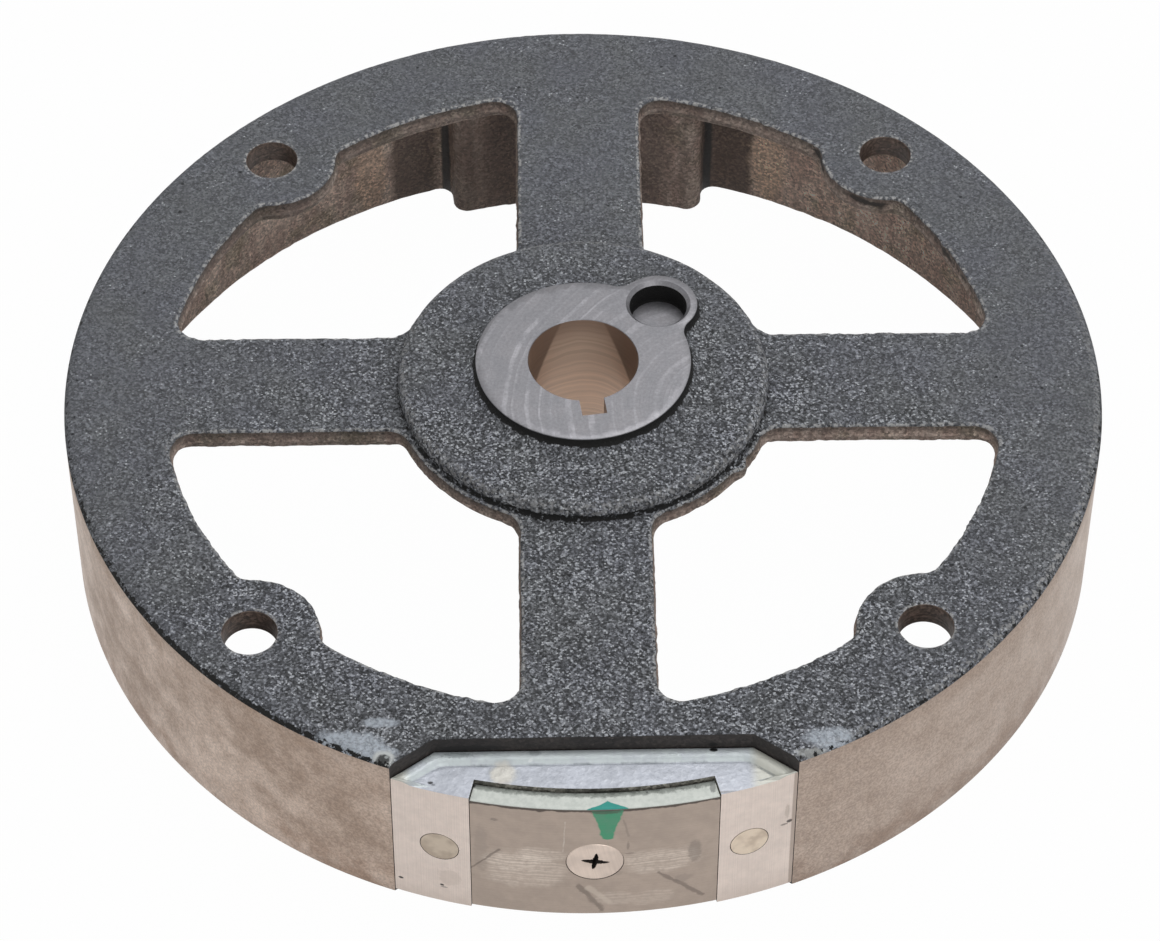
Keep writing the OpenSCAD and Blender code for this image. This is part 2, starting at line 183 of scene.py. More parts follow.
class FlywheelMagnetSizes(PropertyGroup):
    """Sizes of the pocket and of the magnet group in it."""

    turn: turn("Turn", "Angle of the magnet group from the front spoke", 0.4)
    floor: length("Floor", "Distance of the pocket's floor from the axis", 91.275)
    floor_half: length("Floor half", "Half the width of the pocket's floor", 30.25)
    slope: length("Slope", "Width of the slope at each end of the pocket", 8.3)
    slope_depth: length("Slope depth", "Depth of that slope", 6.155)
    boss_wall: length("Boss wall", "Iron left behind the pocket", 6.5)
    boss_end: length("Boss end", "How far that iron runs out past the floor's ends", 2.2)
    boss_corner: length("Boss corner", "Radius of its corners", 4)
    play: length("Play", "Play between the group's pieces", 0.15)
    height: length("Group height", "Height of the pins and the screw", 18.3)
    retainer_top: length("Retainer top", "Height of the retainer's raised top", RETAINER_HIGH.z / MM)
    retainer_step: length("Retainer step", "Depth of the retainer's top inside its border", 0.9)
    retainer_low: length("Retainer foot", "Height of the retainer's lower face", RETAINER_LOW.z / MM)
    shoe_low: length("Shoe foot", "Height of the pole shoe's lower edge", SHOE_LOW.z / MM)
    seat: length("Seat", "Radius of the seat behind the pole shoe", 100.175)
    shoe_half: turn("Shoe half", "Half the angle that the pole shoe spans", 13)
    shoe_back: length("Shoe back", "Radius of the pole shoe's inner face", 100.775)
    shoe_top: length("Shoe top", "Height of the pole shoe's upper edge", SHOE_HIGH.z / MM)
    cavity_half: length("Cavity half", "Half the width of the magnet's cavity", 15.15)
    cavity_floor: length("Cavity floor", "Height of the cavity's floor", 5)
    cavity_top: length("Cavity top", "Height of the cavity's top", 31.75)
    pin: length("Pin", "Radius of a retaining pin", 3.75)
    pin_turn: turn("Pin angle", "Angle of a pin from the group's middle", 16.39)
    head: length("Screw head", "Radius of the screw's head", 5.5)
    head_depth: length("Head depth", "Depth of the screw's conical head", 2.8)
    shank: length("Shank", "Radius of the screw's shank", 3)
    screw_end: length("Screw end", "Distance of the screw's end from the axis", 86.275)
    recess: length("Recess", "Length of an arm of the cross recess from its middle", 2.7)
    recess_depth: length("Recess depth", "Depth of the cross recess", 2)


# ---------------------------------------------------------------- plan outlines

def at(radius, angle):
    """The plan point at that radius and angle."""
    return Vector((radius * cos(radians(angle)), radius * sin(radians(angle))))


def angle_of(v):
    return degrees(math.atan2(v.y, v.x))


def triangle_angle(near, far, across):
    """Angle between two sides of a triangle, from the three sides' lengths."""
    return degrees(math.acos((near**2 + far**2 - across**2) / (2 * near * far)))


def bend(centre, radius, start, end, way=1):
    """An arc between two directions, clockwise where way is -1: its length and its points."""
    end = start + ((end - start) % 360 if way > 0 else -((start - end) % 360))
    return abs(radians(end - start)) * radius, lambda t: centre + at(radius, start + (end - start) * t)


def straight(p, q):
    """A straight line between two points: its length and its points."""
    p, q = Vector(p), Vector(q)
    return (q - p).length, lambda t: p.lerp(q, t)


def counts_for(path, step):
    """How many steps each stretch of a path takes, for steps of about that length."""
    return [max(2, math.ceil(long / step)) for long, _ in path]


def trace(path, counts):
    """Points along a path, each stretch without its last point."""
    return [point(i / count) for (_, point), count in zip(path, counts) for i in range(count)]


def whole_trace(path, counts):
    """Points along a path and its last point."""
    return trace(path, counts) + [path[-1][1](1)]


def on_circle(x, radius):
    """The point at x on the circle of that radius, in the first quadrant."""
    return Vector((x, sqrt(radius**2 - x**2)))


def circle_points(centre, radius, steps):
    return [centre + at(radius, 360 * i / steps) for i in range(steps)]


def window_half(wheel, hub_radius, grow):
    """Half of a window's outline in the first quadrant, from the ear's middle on. grow adds metal."""
    outer = wheel.radius - wheel.rim_face - grow
    side = wheel.spoke / 2 + grow
    inner = hub_radius + grow
    ear = wheel.bolt_hole + wheel.ear_wall + grow
    r = wheel.window_corner
    blend = wheel.ear_blend
    ear_at = at(wheel.bolt_circle, 45)
    swing = triangle_angle(wheel.bolt_circle, outer - blend, ear + blend)
    rim_c = on_circle(side + r, outer - r)
    hub_c = on_circle(side + r, inner + r)
    ear_c = at(outer - blend, 45 + swing)
    return [
        bend(ear_at, ear, 225, angle_of(ear_c - ear_at), -1),
        bend(ear_c, blend, angle_of(ear_at - ear_c), angle_of(ear_c)),
        bend(ORIGIN, outer, angle_of(ear_c), angle_of(rim_c)),
        bend(rim_c, r, angle_of(rim_c), 180),
        straight((side, rim_c.y), (side, hub_c.y)),
        bend(hub_c, r, 180, angle_of(hub_c) + 180),
        bend(ORIGIN, inner, angle_of(hub_c), 45, -1),
    ]


def window_loop(path, counts, quarter):
    """The whole window's points: the half path and its mirror image, turned into their quarter."""
    half = whole_trace(path, counts)
    loop = half + [p.yx for p in reversed(half[1:-1])]
    return [Matrix.Rotation(radians(90 * quarter), 2) @ p for p in loop]


def sloped_half(magnets, away, behind=0, wider=0):
    """Where the pocket's floor and slope meet, both moved by away. x runs along the rim, y outwards."""
    steep = math.atan2(magnets.slope_depth, magnets.slope)
    shift = away * (cos(steep) - 1) / sin(steep)
    half = magnets.floor_half + wider + away * sin(steep) + shift * cos(steep)
    return Vector((half, magnets.floor - behind - away)), degrees(steep)


def to_circle(start, direction, radius):
    """How far along direction a line from start meets the circle of that radius round the axis."""
    along = start.dot(direction)
    return sqrt(along**2 - start.length_squared + radius**2) - along


def rounded_slope(corner, steep, r, end):
    """From the middle of a floor round its corner, of radius r, and up the slope to end."""
    slope, set_in = at(1, steep), r * tan(radians(steep / 2))
    return [
        straight((0, corner.y), (corner.x - set_in, corner.y)),
        bend(Vector((corner.x - set_in, corner.y + r)), r, -90, steep - 90),
        straight(corner + set_in * slope, end),
    ]


def both_sides(points, magnets):
    """Points of the group's right half at the front of the wheel, and their mirror image."""
    turned = Matrix.Rotation(magnets.turn, 2)
    return ([turned @ Vector((side * p.x, -p.y)) for p in points] for side in (1, -1))


def skirt(radius, start, end, steps):
    """Points of a circle round the axis between two points' directions."""
    return trace([bend(ORIGIN, radius, angle_of(start), angle_of(end))], [steps])


def outside_path(magnets, radius, away):
    """Half of the pocket in the rim, from its floor's middle to the circle of that radius."""
    corner, steep = sloped_half(magnets, away)
    slope = at(1, steep)
    mouth = corner + to_circle(corner, slope, radius) * slope
    return [straight((0, corner.y), corner), straight(corner, mouth)], mouth


def inside_path(wheel, magnets, radius, away):
    """Half of the boss behind the pocket, from its middle on. away moves every wall into the hollow."""
    corner, steep = sloped_half(magnets, away, magnets.boss_wall, magnets.boss_end)
    slope = at(1, steep)
    into = at(1, steep - 90)
    blend = wheel.weight_corner - away
    start = corner + blend * into
    blend_c = start + to_circle(start, slope, radius - blend) * slope
    return [
        *rounded_slope(corner, steep, magnets.boss_corner + away, blend_c - blend * into),
        bend(blend_c, blend, steep + 90, angle_of(blend_c), -1),
    ], at(radius, angle_of(blend_c))


def weight_path(wheel, radius, away):
    """Half of the balance weight at the back, from the skirt to its middle."""
    half = wheel.weight / 2 + away
    inner = wheel.radius - wheel.skirt - wheel.weight_depth - away
    blend = wheel.weight_corner - away
    r = wheel.weight_corner + away
    skirt_c = on_circle(half + blend, radius - blend)
    inner_c = on_circle(half - r, inner + r)
    return [
        bend(skirt_c, blend, angle_of(skirt_c), 180),
        straight((half, skirt_c.y), (half, inner_c.y)),
        bend(inner_c, r, 0, angle_of(inner_c) - 180, -1),
        bend(ORIGIN, inner, angle_of(inner_c), 90),
    ]


def pad_path(hub, grow):
    """Outline of the machined pad and its lug."""
    lug_at = DRIVE_HOLE
    pad = hub.pad + grow
    lug = hub.drive_hole + hub.lug_wall + grow
    blend = hub.lug_blend - grow
    lug_angle = angle_of(lug_at)
    swing = triangle_angle(lug_at.length, pad + blend, lug + blend)
    before, after = (at(pad + blend, lug_angle + s * swing) for s in (-1, 1))
    return [
        bend(ORIGIN, pad, lug_angle + swing, lug_angle - swing),
        bend(before, blend, angle_of(before) + 180, angle_of(lug_at - before), -1),
        bend(lug_at, lug, angle_of(before - lug_at), angle_of(after - lug_at)),
        bend(after, blend, angle_of(lug_at - after), angle_of(after) + 180, -1),
    ]


def bore_path(hub, radius):
    """Outline of the shaft bore with its keyway."""
    half = hub.key_width / 2
    opening = degrees(math.asin(half / radius))
    key = degrees(hub.key_turn)
    turned = Matrix.Rotation(hub.key_turn, 2)
    wall = radius * cos(radians(opening))
    corners = [
        turned @ Vector(p)
        for p in ((wall, -half), (hub.key_bottom, -half), (hub.key_bottom, half), (wall, half))
    ]
    sides = [straight(p, q) for p, q in zip(corners, corners[1:])]
    return [bend(ORIGIN, radius, key + opening, key - opening), *sides]


# ---------------------------------------------------------------- meshes

def raised(points, z):
    """Plan points at a height."""
    return [(p.x, p.y, z) for p in points]


def inside(points, loops):
    """Which of the points lie between the loops: inside an odd number of them."""
    starts = np.array([p for loop in loops for p in loop], float)
    ends = np.array([p for loop in loops for p in loop[1:] + loop[:1]], float)
    found = np.zeros(len(points), bool)
    span = np.where(ends[:, 1] == starts[:, 1], 1, ends[:, 1] - starts[:, 1])
    for low in range(0, len(points), BATCH):
        x = points[low : low + BATCH, :1]
        y = points[low : low + BATCH, 1:]
        crosses = (starts[:, 1] > y) != (ends[:, 1] > y)
        meets = starts[:, 0] + (y - starts[:, 1]) / span * (ends[:, 0] - starts[:, 0])
        found[low : low + BATCH] = (crosses & (x < meets)).sum(1) % 2 == 1
    return found


def around(loops, first, last):
    """The same stretch of each loop, from point first to point last."""
    return [[loop[i % len(loop)] for i in range(first, last + 1)] for loop in loops]


def add_object(name, data):
    made = bpy.data.objects.new(name, data)
    bpy.context.scene.collection.objects.link(made)
    return made


class Shell:
    """A surface under construction: its points, its faces and the zone of each face."""

    def __init__(self):
        self.points = []
        self.faces = []
        self.zones = []
        self.known = {}

    def point(self, p):
        """A point's number. One that lies there already is used again."""
        key = tuple(round(c / WELD) for c in p)
        if key not in self.known:
            self.known[key] = len(self.points)
            self.points.append(tuple(p))
        return self.known[key]

    def face(self, ids, zone):
        """A face through numbered points, unless fewer than three of them differ."""
        ids = [a for i, a in enumerate(ids) if a != ids[i - 1]]
        if len(set(ids)) > 2:
            self.faces.append(ids)
            self.zones.append(zone)

    def strip(self, rows, zone, closed=True):
        """Faces between rows with equally many points."""
        rows = [[self.point(p) for p in row] for row in rows]
        for low, high in zip(rows, rows[1:]):
            for i in range(0 if closed else 1, len(low)):
                self.face([low[i - 1], low[i], high[i], high[i - 1]], zone)

    def band(self, loops, first, last, zone):
        """Faces between the same stretch of each loop."""
        self.strip(around(loops, first, last), zone, closed=False)

    def stack(self, rows):
        """Strips between levels, each with its points, its height and the zone of the strip up to it."""
        for (lower, low, _), (upper, high, zone) in zip(rows, rows[1:]):
            self.strip([raised(lower, low), raised(upper, high)], zone)

    def fill(self, loops, spacing, zone, place):
        """Triangles between closed loops in the plane, which place() sets in space."""
        loops = [[tuple(p[:2]) for p in loop] for loop in loops]
        border = [p for loop in loops for p in loop]
        edges = []
        for loop in loops:
            first = len(edges)
            edges += [(first + i, first + (i + 1) % len(loop)) for i in range(len(loop))]
        tree = KDTree(len(border))
        for i, p in enumerate(border):
            tree.insert((*p, 0), i)
        tree.balance()
        low, high = np.min(border, 0), np.max(border, 0)
        drawn = np.random.default_rng(SEED)
        rows = np.arange(low[1], high[1], spacing * sin(radians(60)))
        grid = [
            (x + (i % 2) * spacing / 2, y)
            for i, y in enumerate(rows)
            for x in np.arange(low[0], high[0], spacing)
        ]
        grid = np.array(grid, float).reshape(-1, 2)
        grid += drawn.uniform(-SCATTER, SCATTER, grid.shape) * spacing
        grid = grid[inside(grid, loops)].tolist()
        clear = [tuple(p) for p in grid if tree.find((*p, 0))[2] > CLEARANCE * spacing]
        flat = border + clear
        points, _, faces, origins, _, _ = delaunay_2d_cdt(
            [Vector(p) / MM for p in flat], edges, [], 0, TOLERANCE
        )
        flat = [flat[o[0]] if o else tuple(p * MM) for p, o in zip(points, origins)]
        corners = np.array([[flat[i] for i in f] for f in faces])
        one, two = corners[:, 1] - corners[:, 0], corners[:, 2] - corners[:, 0]
        wide = abs(one[:, 0] * two[:, 1] - one[:, 1] * two[:, 0]) > SLIVER
        for f, kept in zip(faces, wide & inside(corners.mean(1), loops)):
            if kept:
                self.face([self.point(place(*flat[i])) for i in f], zone)

    def level(self, loops, spacing, zone, z):
        self.fill(loops, spacing, zone, lambda x, y: (x, y, z))

    def object(self, name, zones, lumps=()):
        """A closed mesh object. zones gives each zone's material slot, roughness, pale edge (part wear, part
        painted highlight) and painted shade.
        """
        mesh = bpy.data.meshes.new(name)
        mesh.from_pydata(self.points, [], self.faces)
        names = list(zones)
        bm = bmesh.new()
        bm.from_mesh(mesh)
        kind = bm.faces.layers.int.new("zone")
        for f, zone in zip(bm.faces, self.zones):
            f[kind] = names.index(zone)
            f.material_index = zones[zone]["slot"]
            f.smooth = True
        bmesh.ops.remove_doubles(bm, verts=bm.verts, dist=WELD)
        bmesh.ops.recalc_face_normals(bm, faces=bm.faces)
        bm.normal_update()
        weigh_zones(bm, kind, [zones[n] for n in names], lumps)
        bm.to_mesh(mesh)
        bm.free()
        mesh.set_sharp_from_angle(angle=SHARP)
        return add_object(name, mesh)


def waves(p, size, shift=(0, 0, 0)):
    """Noise at a point, with features of that size in millimetres."""
    return noise.noise(p / (size * MM) + Vector(shift))


def weigh_zones(bm, kind, zones, lumps):
    """Roughens the cast zones, presses the lumps in and writes each point's pale edge, part wear and part
    painted highlight, and its painted shade.
    """
    edge = bm.verts.layers.float.new("edge")
    grime = bm.verts.layers.float.new("grime")
    moves = []
    for v in bm.verts:
        near = [zones[i] for i in {f[kind] for f in v.link_faces}]
        for layer, key in (edge, "edge"), (grime, "grime"):
            v[layer] = max(z[key](v.co) if callable(z[key]) else z[key] for z in near)
        swell, grain = (
            max(z[key] for z in near) if all(z[key] for z in near) else 0 for key in ("swell", "grain")
        )
        move = Vector((0, 0, 0))
        if swell or grain:
            slow = waves(v.co, 11) + 0.5 * waves(v.co, 5)
            ragged = 0.55 + waves(v.co, 9, shift=(7, 0, 3))
            quick = waves(v.co, 1.7) + 0.6 * waves(v.co, 0.8)
            move += v.normal * (swell * slow + grain * quick * max(0.25, ragged))
        for centre, reach, push in lumps:
            near_by = 1 - (v.co - Vector(centre) * MM).length_squared / (reach * MM) ** 2
            if near_by > 0:
                move += Vector(push) * MM * near_by**2
        moves.append((v, move))
    for v, move in moves:
        v.co += move


# ---------------------------------------------------------------- the wheel casting

def corner_grime(p):
    """Painted shade on the rim's corner: black along the front left, thin and broken elsewhere."""
    return max(0.3, 0.84 - abs(angle_of(p) % 360 - 225) / 75)


def corner_wear(p):
    """Wear and painted highlight on the rim's corner, along the front right."""
    return max(0, 0.85 - abs(angle_of(p) + 30) / 70)


def foot_grime(p):
    """Painted shade at the disc's foot: heaviest at the front."""
    return max(0.35, 0.85 - abs(angle_of(p) % 360 - 270) / 200)


def zone_look(slot, swell=0, grain=0, edge=0, grime=0):
    """How a zone looks: its material slot, its roughness in millimetres, its pale edge, part wear and part
    painted highlight, and its painted shade.
    """
    return {"slot": slot, "swell": swell * MM, "grain": grain * MM, "edge": edge, "grime": grime}


# Painted shade: the darkening value darkens the disc's foot, the pad's wall and the rim's corner. The edge
# value pales lips, corners and the disc's shoulder, part wear and part painted highlight.
CASTING_ZONES = {
    "skin": zone_look(0, 0.06, 0.08),
    "lip": zone_look(0, 0.12, 0.34, edge=1),
    "corner": zone_look(0, 0.03, 0.04, grime=corner_grime),
    "worn": zone_look(0, 0.05, 0.06, edge=corner_wear),
    "foot": zone_look(0, 0.1, 0.24, grime=foot_grime),
    "near_foot": zone_look(0, 0.06, 0.1, grime=lambda p: 0.5 * foot_grime(p)),
    "shoulder": zone_look(0, 0.08, 0.14, edge=0.5),
    "shade": zone_look(0, grime=1),
    "wall": zone_look(1, 0.1, 0.2),
    "turned": zone_look(2),
    "faced": zone_look(3),
    "bored": zone_look(4),
    "drilled": zone_look(5),
    "pocket": zone_look(6, 0.02, 0.03),
}
# Centre, reach and push of each lump and nick in the cast edges, in millimetres
LUMPS = (
    ((31.0, -23.3, 38.6), 3.0, (1.1, -0.85, 0.25)),
    ((32.6, -20.9, 38.8), 1.6, (-0.4, 0.3, -0.5)),
    ((28.6, -27.6, 38.9), 1.8, (0.3, -0.45, 0)),
    ((73.2, -22.5, 39.0), 2.0, (-0.45, 0.1, 0)),
    ((75.2, -31.0, 39.0), 1.7, (0.4, -0.1, 0)),
    ((77.6, -38.6, 39.0), 2.2, (-0.5, 0.2, 0)),
    ((74.9, 38.2, 39.5), 1.5, (-0.5, -0.4, 0.1)),
    ((79.3, 27.0, 39.5), 1.5, (-0.5, -0.2, 0.1)),
    ((61.6, -67.6, 39.6), 1.6, (0.2, 0.4, -0.3)),
)


def window_rows(wheel, hub):
    """Rows of a window's wall, from the top face down: height, growth, the hub web's radius and zone."""
    top, low = wheel.rim_height, wheel.rim_height - wheel.plate
    web, back = hub.web, hub.web - hub.setback + 0.5 * MM
    return [(z + up * MM, grow * MM, radius + out * MM, zone) for zone, z, up, grow, radius, out in (
        ("skin", top, 0, -1.5, web, 0.95), ("skin", top, 0, -0.85, web, 0.37),
        ("skin", top, -0.03, -0.42, web, 0), ("lip", top, -0.16, -0.16, web, 0),
        ("lip", top, -0.42, -0.02, web, 0), ("wall", top, -0.9, 0.02, web, 0),
        ("wall", top, -1.7, 0.06, web, 0), ("wall", top, -2.45, 0.1, web, 0),
        ("wall", top, -2.65, 0.32, web, 0), ("wall", top, -2.9, 0.4, web, 0),
        ("wall", top, -3.15, 0.25, web, 0), ("wall", top, -3.25, -0.35, back, 0),
        ("wall", top, -3.9, -0.47, back, 0), ("wall", low, 0.4, -0.52, back, 0),
        ("wall", low, 0.12, -0.66, back, 0), ("wall", low, 0, -0.95, back, 0),
    )]


def rim_rows(wheel):
    """Rows of the rim's outside: height, radius, growth of the pocket and zone."""
    top, r = wheel.rim_height, wheel.corner
    set_in = sqrt(r**2 - (r - wheel.corner_drop) ** 2)
    centre = Vector((wheel.radius - set_in, top - r))
    edge = degrees(math.acos(set_in / r))
    side = top - wheel.corner_drop
    rows = [
        (0, wheel.radius - 0.35 * MM, 0.3 * MM, "turned"),
        (0.1 * MM, wheel.radius - 0.1 * MM, 0.1 * MM, "turned"),
        (0.35 * MM, wheel.radius, 0, "turned"),
    ]
    rows += [(side * i / 8, wheel.radius, 0, "turned") for i in range(1, 9)]
    for further, zone in (8, "corner"), (20, "corner"), (32, "worn"), (44, "worn"):
        p = centre + at(r, edge + further)
        rows.append((p.y, p.x, 0, zone))
    rows.append((top - 0.03 * MM, centre.x + 0.25 * MM, 0.12 * MM, "skin"))
    rows.append((top, centre.x - 0.35 * MM, 0.4 * MM, "skin"))
    return rows


def hollow_rows(wheel):
    """Rows of the skirt's inside, from the plate down: height, skirt radius and shift of the walls."""
    low, r = wheel.rim_height - wheel.plate, wheel.skirt_fillet
    skirt = wheel.radius - wheel.skirt
    fillet = (radians(angle) for angle in (90, 72, 54, 36, 18, 0))
    rows = [(low - r + r * sin(angle), r - r * cos(angle)) for angle in fillet]
    rows += [((low - r) * i / 7, 0) for i in range(6, 0, -1)]
    rows += [(0.5 * MM, 0), (0.15 * MM, -0.15 * MM), (0, -0.5 * MM)]
    return [(z, skirt - wheel.skirt_draft * z / low - away, away) for z, away in rows]


def hollow_loop(wheel, magnets, radius, away, counts):
    """The hollow's outline at one height: boss, skirt, weight and skirt again, counterclockwise."""
    boss, boss_end = inside_path(wheel, magnets, radius, min(away, 0.35 * MM))
    weight = whole_trace(weight_path(wheel, radius, away), counts["weight"])
    right, left = both_sides(trace(boss, counts["boss"]) + [boss_end], magnets)
    mirrored = [Vector((-p.x, p.y)) for p in weight]
    one = skirt(radius, right[-1], weight[0], SKIRT_STEPS)
    two = skirt(radius, mirrored[0], left[-1], SKIRT_STEPS)
    return right[:-1] + one + weight + mirrored[-2:0:-1] + two + left[:0:-1]


def rim_loop(magnets, radius, away, counts):
    """The rim's outline at one height: the pocket's right half, the rim and the pocket's left half."""
    path, mouth = outside_path(magnets, radius, away)
    right, left = both_sides(trace(path, counts["pocket"]) + [mouth], magnets)
    return right[:-1] + skirt(radius, right[-1], left[-1], RIM_STEPS) + left[:0:-1]


def add_openings(shell, outlines):
    """Four openings through the plate. Gives their outlines on the top face and on its underside."""
    tops, lows = [], []
    for quarter in range(4):
        loops = outlines(quarter)
        shell.stack(loops)
        tops.append(loops[0][0])
        lows.append(loops[-1][0])
    return tops, lows


def add_windows(shell, wheel, hub):
    counts = counts_for(window_half(wheel, hub.web, 0), 0.46 * MM)
    return add_openings(shell, lambda quarter: [
        (window_loop(window_half(wheel, web, grow), counts, quarter), z, zone)
        for z, grow, web, zone in window_rows(wheel, hub)
    ])


def add_bolt_holes(shell, wheel):
    rows = [(wheel.rim_height - down * MM, wheel.bolt_hole + out * MM, zone) for down, out, zone in (
        (0, 0.9, "skin"), (0.02, 0.38, "skin"), (0.12, 0.14, "lip"),
        (0.35, 0, "drilled"), (1.8, 0, "drilled"), (3.4, 0, "drilled"),
    )]
    rows.append((wheel.rim_height - wheel.plate, wheel.bolt_hole, "drilled"))
    return add_openings(shell, lambda quarter: [
        (circle_points(at(wheel.bolt_circle, 45 + 90 * quarter), radius, BOLT_STEPS), z, zone)
        for z, radius, zone in rows
    ])


def add_hub_top(shell, wheel, hub):
    """The raised disc and the pad with its two holes. Gives the disc's foot and the bore's lower end."""
    top, shoulder = wheel.rim_height, hub.disc_edge
    rows = [(hub.disc + out * MM, top + up * MM, zone) for out, up, zone in (
        (0.45, 0, "skin"), (0.32, 0.05, "near_foot"), (0.17, 0.14, "foot"), (0.03, 0.45, "foot"),
        (0, 0.9, "foot"),
    )]
    rows.append((hub.disc, hub.disc_top - shoulder, "skin"))
    for angle, zone in (22, "shoulder"), (45, "shoulder"), (68, "shoulder"), (90, "skin"):
        p = Vector((hub.disc - shoulder, hub.disc_top - shoulder)) + at(shoulder, angle)
        rows.append((p.x, p.y, zone))
    disc = [(circle_points(ORIGIN, radius, DISC_STEPS), z, zone) for radius, z, zone in rows]
    shell.stack(disc)

    steps = counts_for(pad_path(hub, 0), 0.4 * MM)
    low, top = hub.disc_top, hub.pad_top
    pad = [(trace(pad_path(hub, grow * MM), steps), z + up * MM, zone) for grow, z, up, zone in (
        (3.2, low, 0, "skin"), (2.2, low, 0.1, "skin"), (1.4, low, 0.42, "skin"), (0.8, low, 0.85, "skin"),
        (0.3, low, 1.35, "skin"), (0.05, low, 1.7, "shade"), (0, top, -0.2, "shade"),
        (-0.04, top, -0.06, "faced"), (-0.14, top, 0, "faced"),
    )]
    shell.stack(pad)
    shell.level([disc[-1][0], pad[0][0]], 1.5 * MM, "skin", low)

    r, chamfer = hub.bore, hub.bore_chamfer
    steps = counts_for(bore_path(hub, r), 0.5 * MM)
    bore = [(trace(bore_path(hub, radius), steps), z, zone) for radius, z, zone in (
        (r + 0.12 * MM, top, "faced"), (r, top - 0.12 * MM, "faced"), (r, top - 8 * MM, "bored"),
        (r, top - 16 * MM, "bored"), (r, hub.end + chamfer, "bored"), (r + chamfer, hub.end, "bored"),
    )]
    shell.stack(bore)

    r, chamfer, low = hub.drive_hole, hub.drive_chamfer, top - hub.drive_depth
    hole = [(circle_points(DRIVE_HOLE, radius, DRIVE_STEPS), z, zone) for radius, z, zone in (
        (r + chamfer, top, "faced"), (r, top - chamfer, "faced"), (r, top - 2.4 * MM, "shade"),
        (r, low + 0.3 * MM, "shade"), (r - 0.3 * MM, low, "shade"), (r - 0.6 * MM, low, "faced"),
    )]
    shell.stack(hole)
    shell.level([hole[-1][0]], 0.9 * MM, "faced", low)
    shell.level([pad[-1][0], bore[0][0], hole[0][0]], 1.4 * MM, "faced", top)
    return disc[0][0], bore[-1][0]


def add_barrel(shell, wheel, hub, bore_end):
    """The barrel under the hub. Gives its foot on the plate's underside."""
    low, f, edge = wheel.rim_height - wheel.plate, hub.barrel_fillet, 0.9 * MM
    foot, end = Vector((hub.barrel_top + f, low - f)), Vector((hub.barrel - edge, hub.end + edge))
    profile = [tuple(foot + at(f, 90 + angle)) for angle in (0, 22, 45, 68, 90)]
    for i in range(1, 6):
        t = i / 6
        height = low - f + (hub.end + edge - low + f) * t
        profile.append((hub.barrel_top + (hub.barrel - hub.barrel_top) * t, height))
    profile += [tuple(end + at(edge, -angle)) for angle in (0, 30, 60, 90)]
    loops = [circle_points(ORIGIN, radius, BARREL_STEPS) for radius, _ in profile]
    shell.strip([raised(loop, z) for loop, (_, z) in zip(loops, profile)], "wall")
    shell.level([loops[-1], bore_end], 1.6 * MM, "faced", hub.end)
    return loops[0]


def build_casting(wheel, hub, magnets):
    shell = Shell()
    window_tops, window_lows = add_windows(shell, wheel, hub)
    bolt_tops, bolt_lows = add_bolt_holes(shell, wheel)
    disc_foot, bore_end = add_hub_top(shell, wheel, hub)
    barrel_foot = add_barrel(shell, wheel, hub, bore_end)

    pocket, _ = outside_path(magnets, wheel.radius, 0)
    inner = wheel.radius - wheel.skirt
    counts = {
        "pocket": counts_for(pocket, 0.7 * MM),
        "boss": counts_for(inside_path(wheel, magnets, inner, 0)[0], 1.6 * MM),
        "weight": counts_for(weight_path(wheel, inner, 0), 1.0 * MM),
    }
    rims = [(rim_loop(magnets, radius, away, counts), z, zone) for z, radius, away, zone in rim_rows(wheel)]
    for (lower, low, _), (upper, high, zone) in zip(rims, rims[1:]):
        n, whole = sum(counts["pocket"]), len(lower)
        rows = [raised(lower, low), raised(upper, high)]
        wall = "skin" if high > wheel.rim_height - 0.1 * MM else "pocket"
        shell.band(rows, 0, n, wall)
        shell.band(rows, n, whole - n, zone)
        shell.band(rows, whole - n, whole, wall)
    hollows = [
        (hollow_loop(wheel, magnets, radius, away, counts), z) for z, radius, away in hollow_rows(wheel)
    ]
    shell.strip([raised(loop, z) for loop, z in hollows], "wall")

    shell.level([rims[-1][0], *window_tops, *bolt_tops, disc_foot], 1.9 * MM, "skin", wheel.rim_height)
    low = wheel.rim_height - wheel.plate
    shell.level([hollows[0][0], *window_lows, *bolt_lows, barrel_foot], 2.6 * MM, "wall", low)
    shell.level([rims[0][0], hollows[-1][0]], 1.8 * MM, "turned", 0)
    return shell.object("cast_wheel", CASTING_ZONES, LUMPS)


# ---------------------------------------------------------------- the magnet group

# The crease zone carries painted shade; the band zone's pale edge is part own tone and part painted
# highlight.
RETAINER_ZONES = {
    "side": zone_look(1),
    "seam": zone_look(2),
    "cast": zone_look(0, 0.05, 0.02),
    "band": zone_look(0, 0.04, 0.02, edge=1),
    "crease": zone_look(0, 0.03, 0.02, grime=0.8),
}
SHOE_ZONES = {"face": zone_look(0), "top": zone_look(1), "seam": zone_look(2)}
SCREW_ZONES = {"face": zone_look(0), "seam": zone_look(1)}


def retainer_half(wheel, magnets, inset, pull):
    """Half of the retainer's outline, inset from the pocket and pulled in from the rim and the seat."""
    radius, back = wheel.radius - pull, 0.3 * pull
    corner, steep = sloped_half(magnets, -magnets.play - inset)
    slope = at(1, steep)
    mouth = corner + to_circle(corner, slope, radius) * slope
    end = 90 - degrees(magnets.shoe_half + (magnets.play + back) / wheel.radius)
    return [
        *rounded_slope(corner, steep, 0.2 * MM + 1.4 * inset, mouth),
        bend(ORIGIN, radius, angle_of(mouth), end),
        straight(at(radius, end), at(magnets.seat - back, end)),
        bend(ORIGIN, magnets.seat - back, end, 90),
    ]


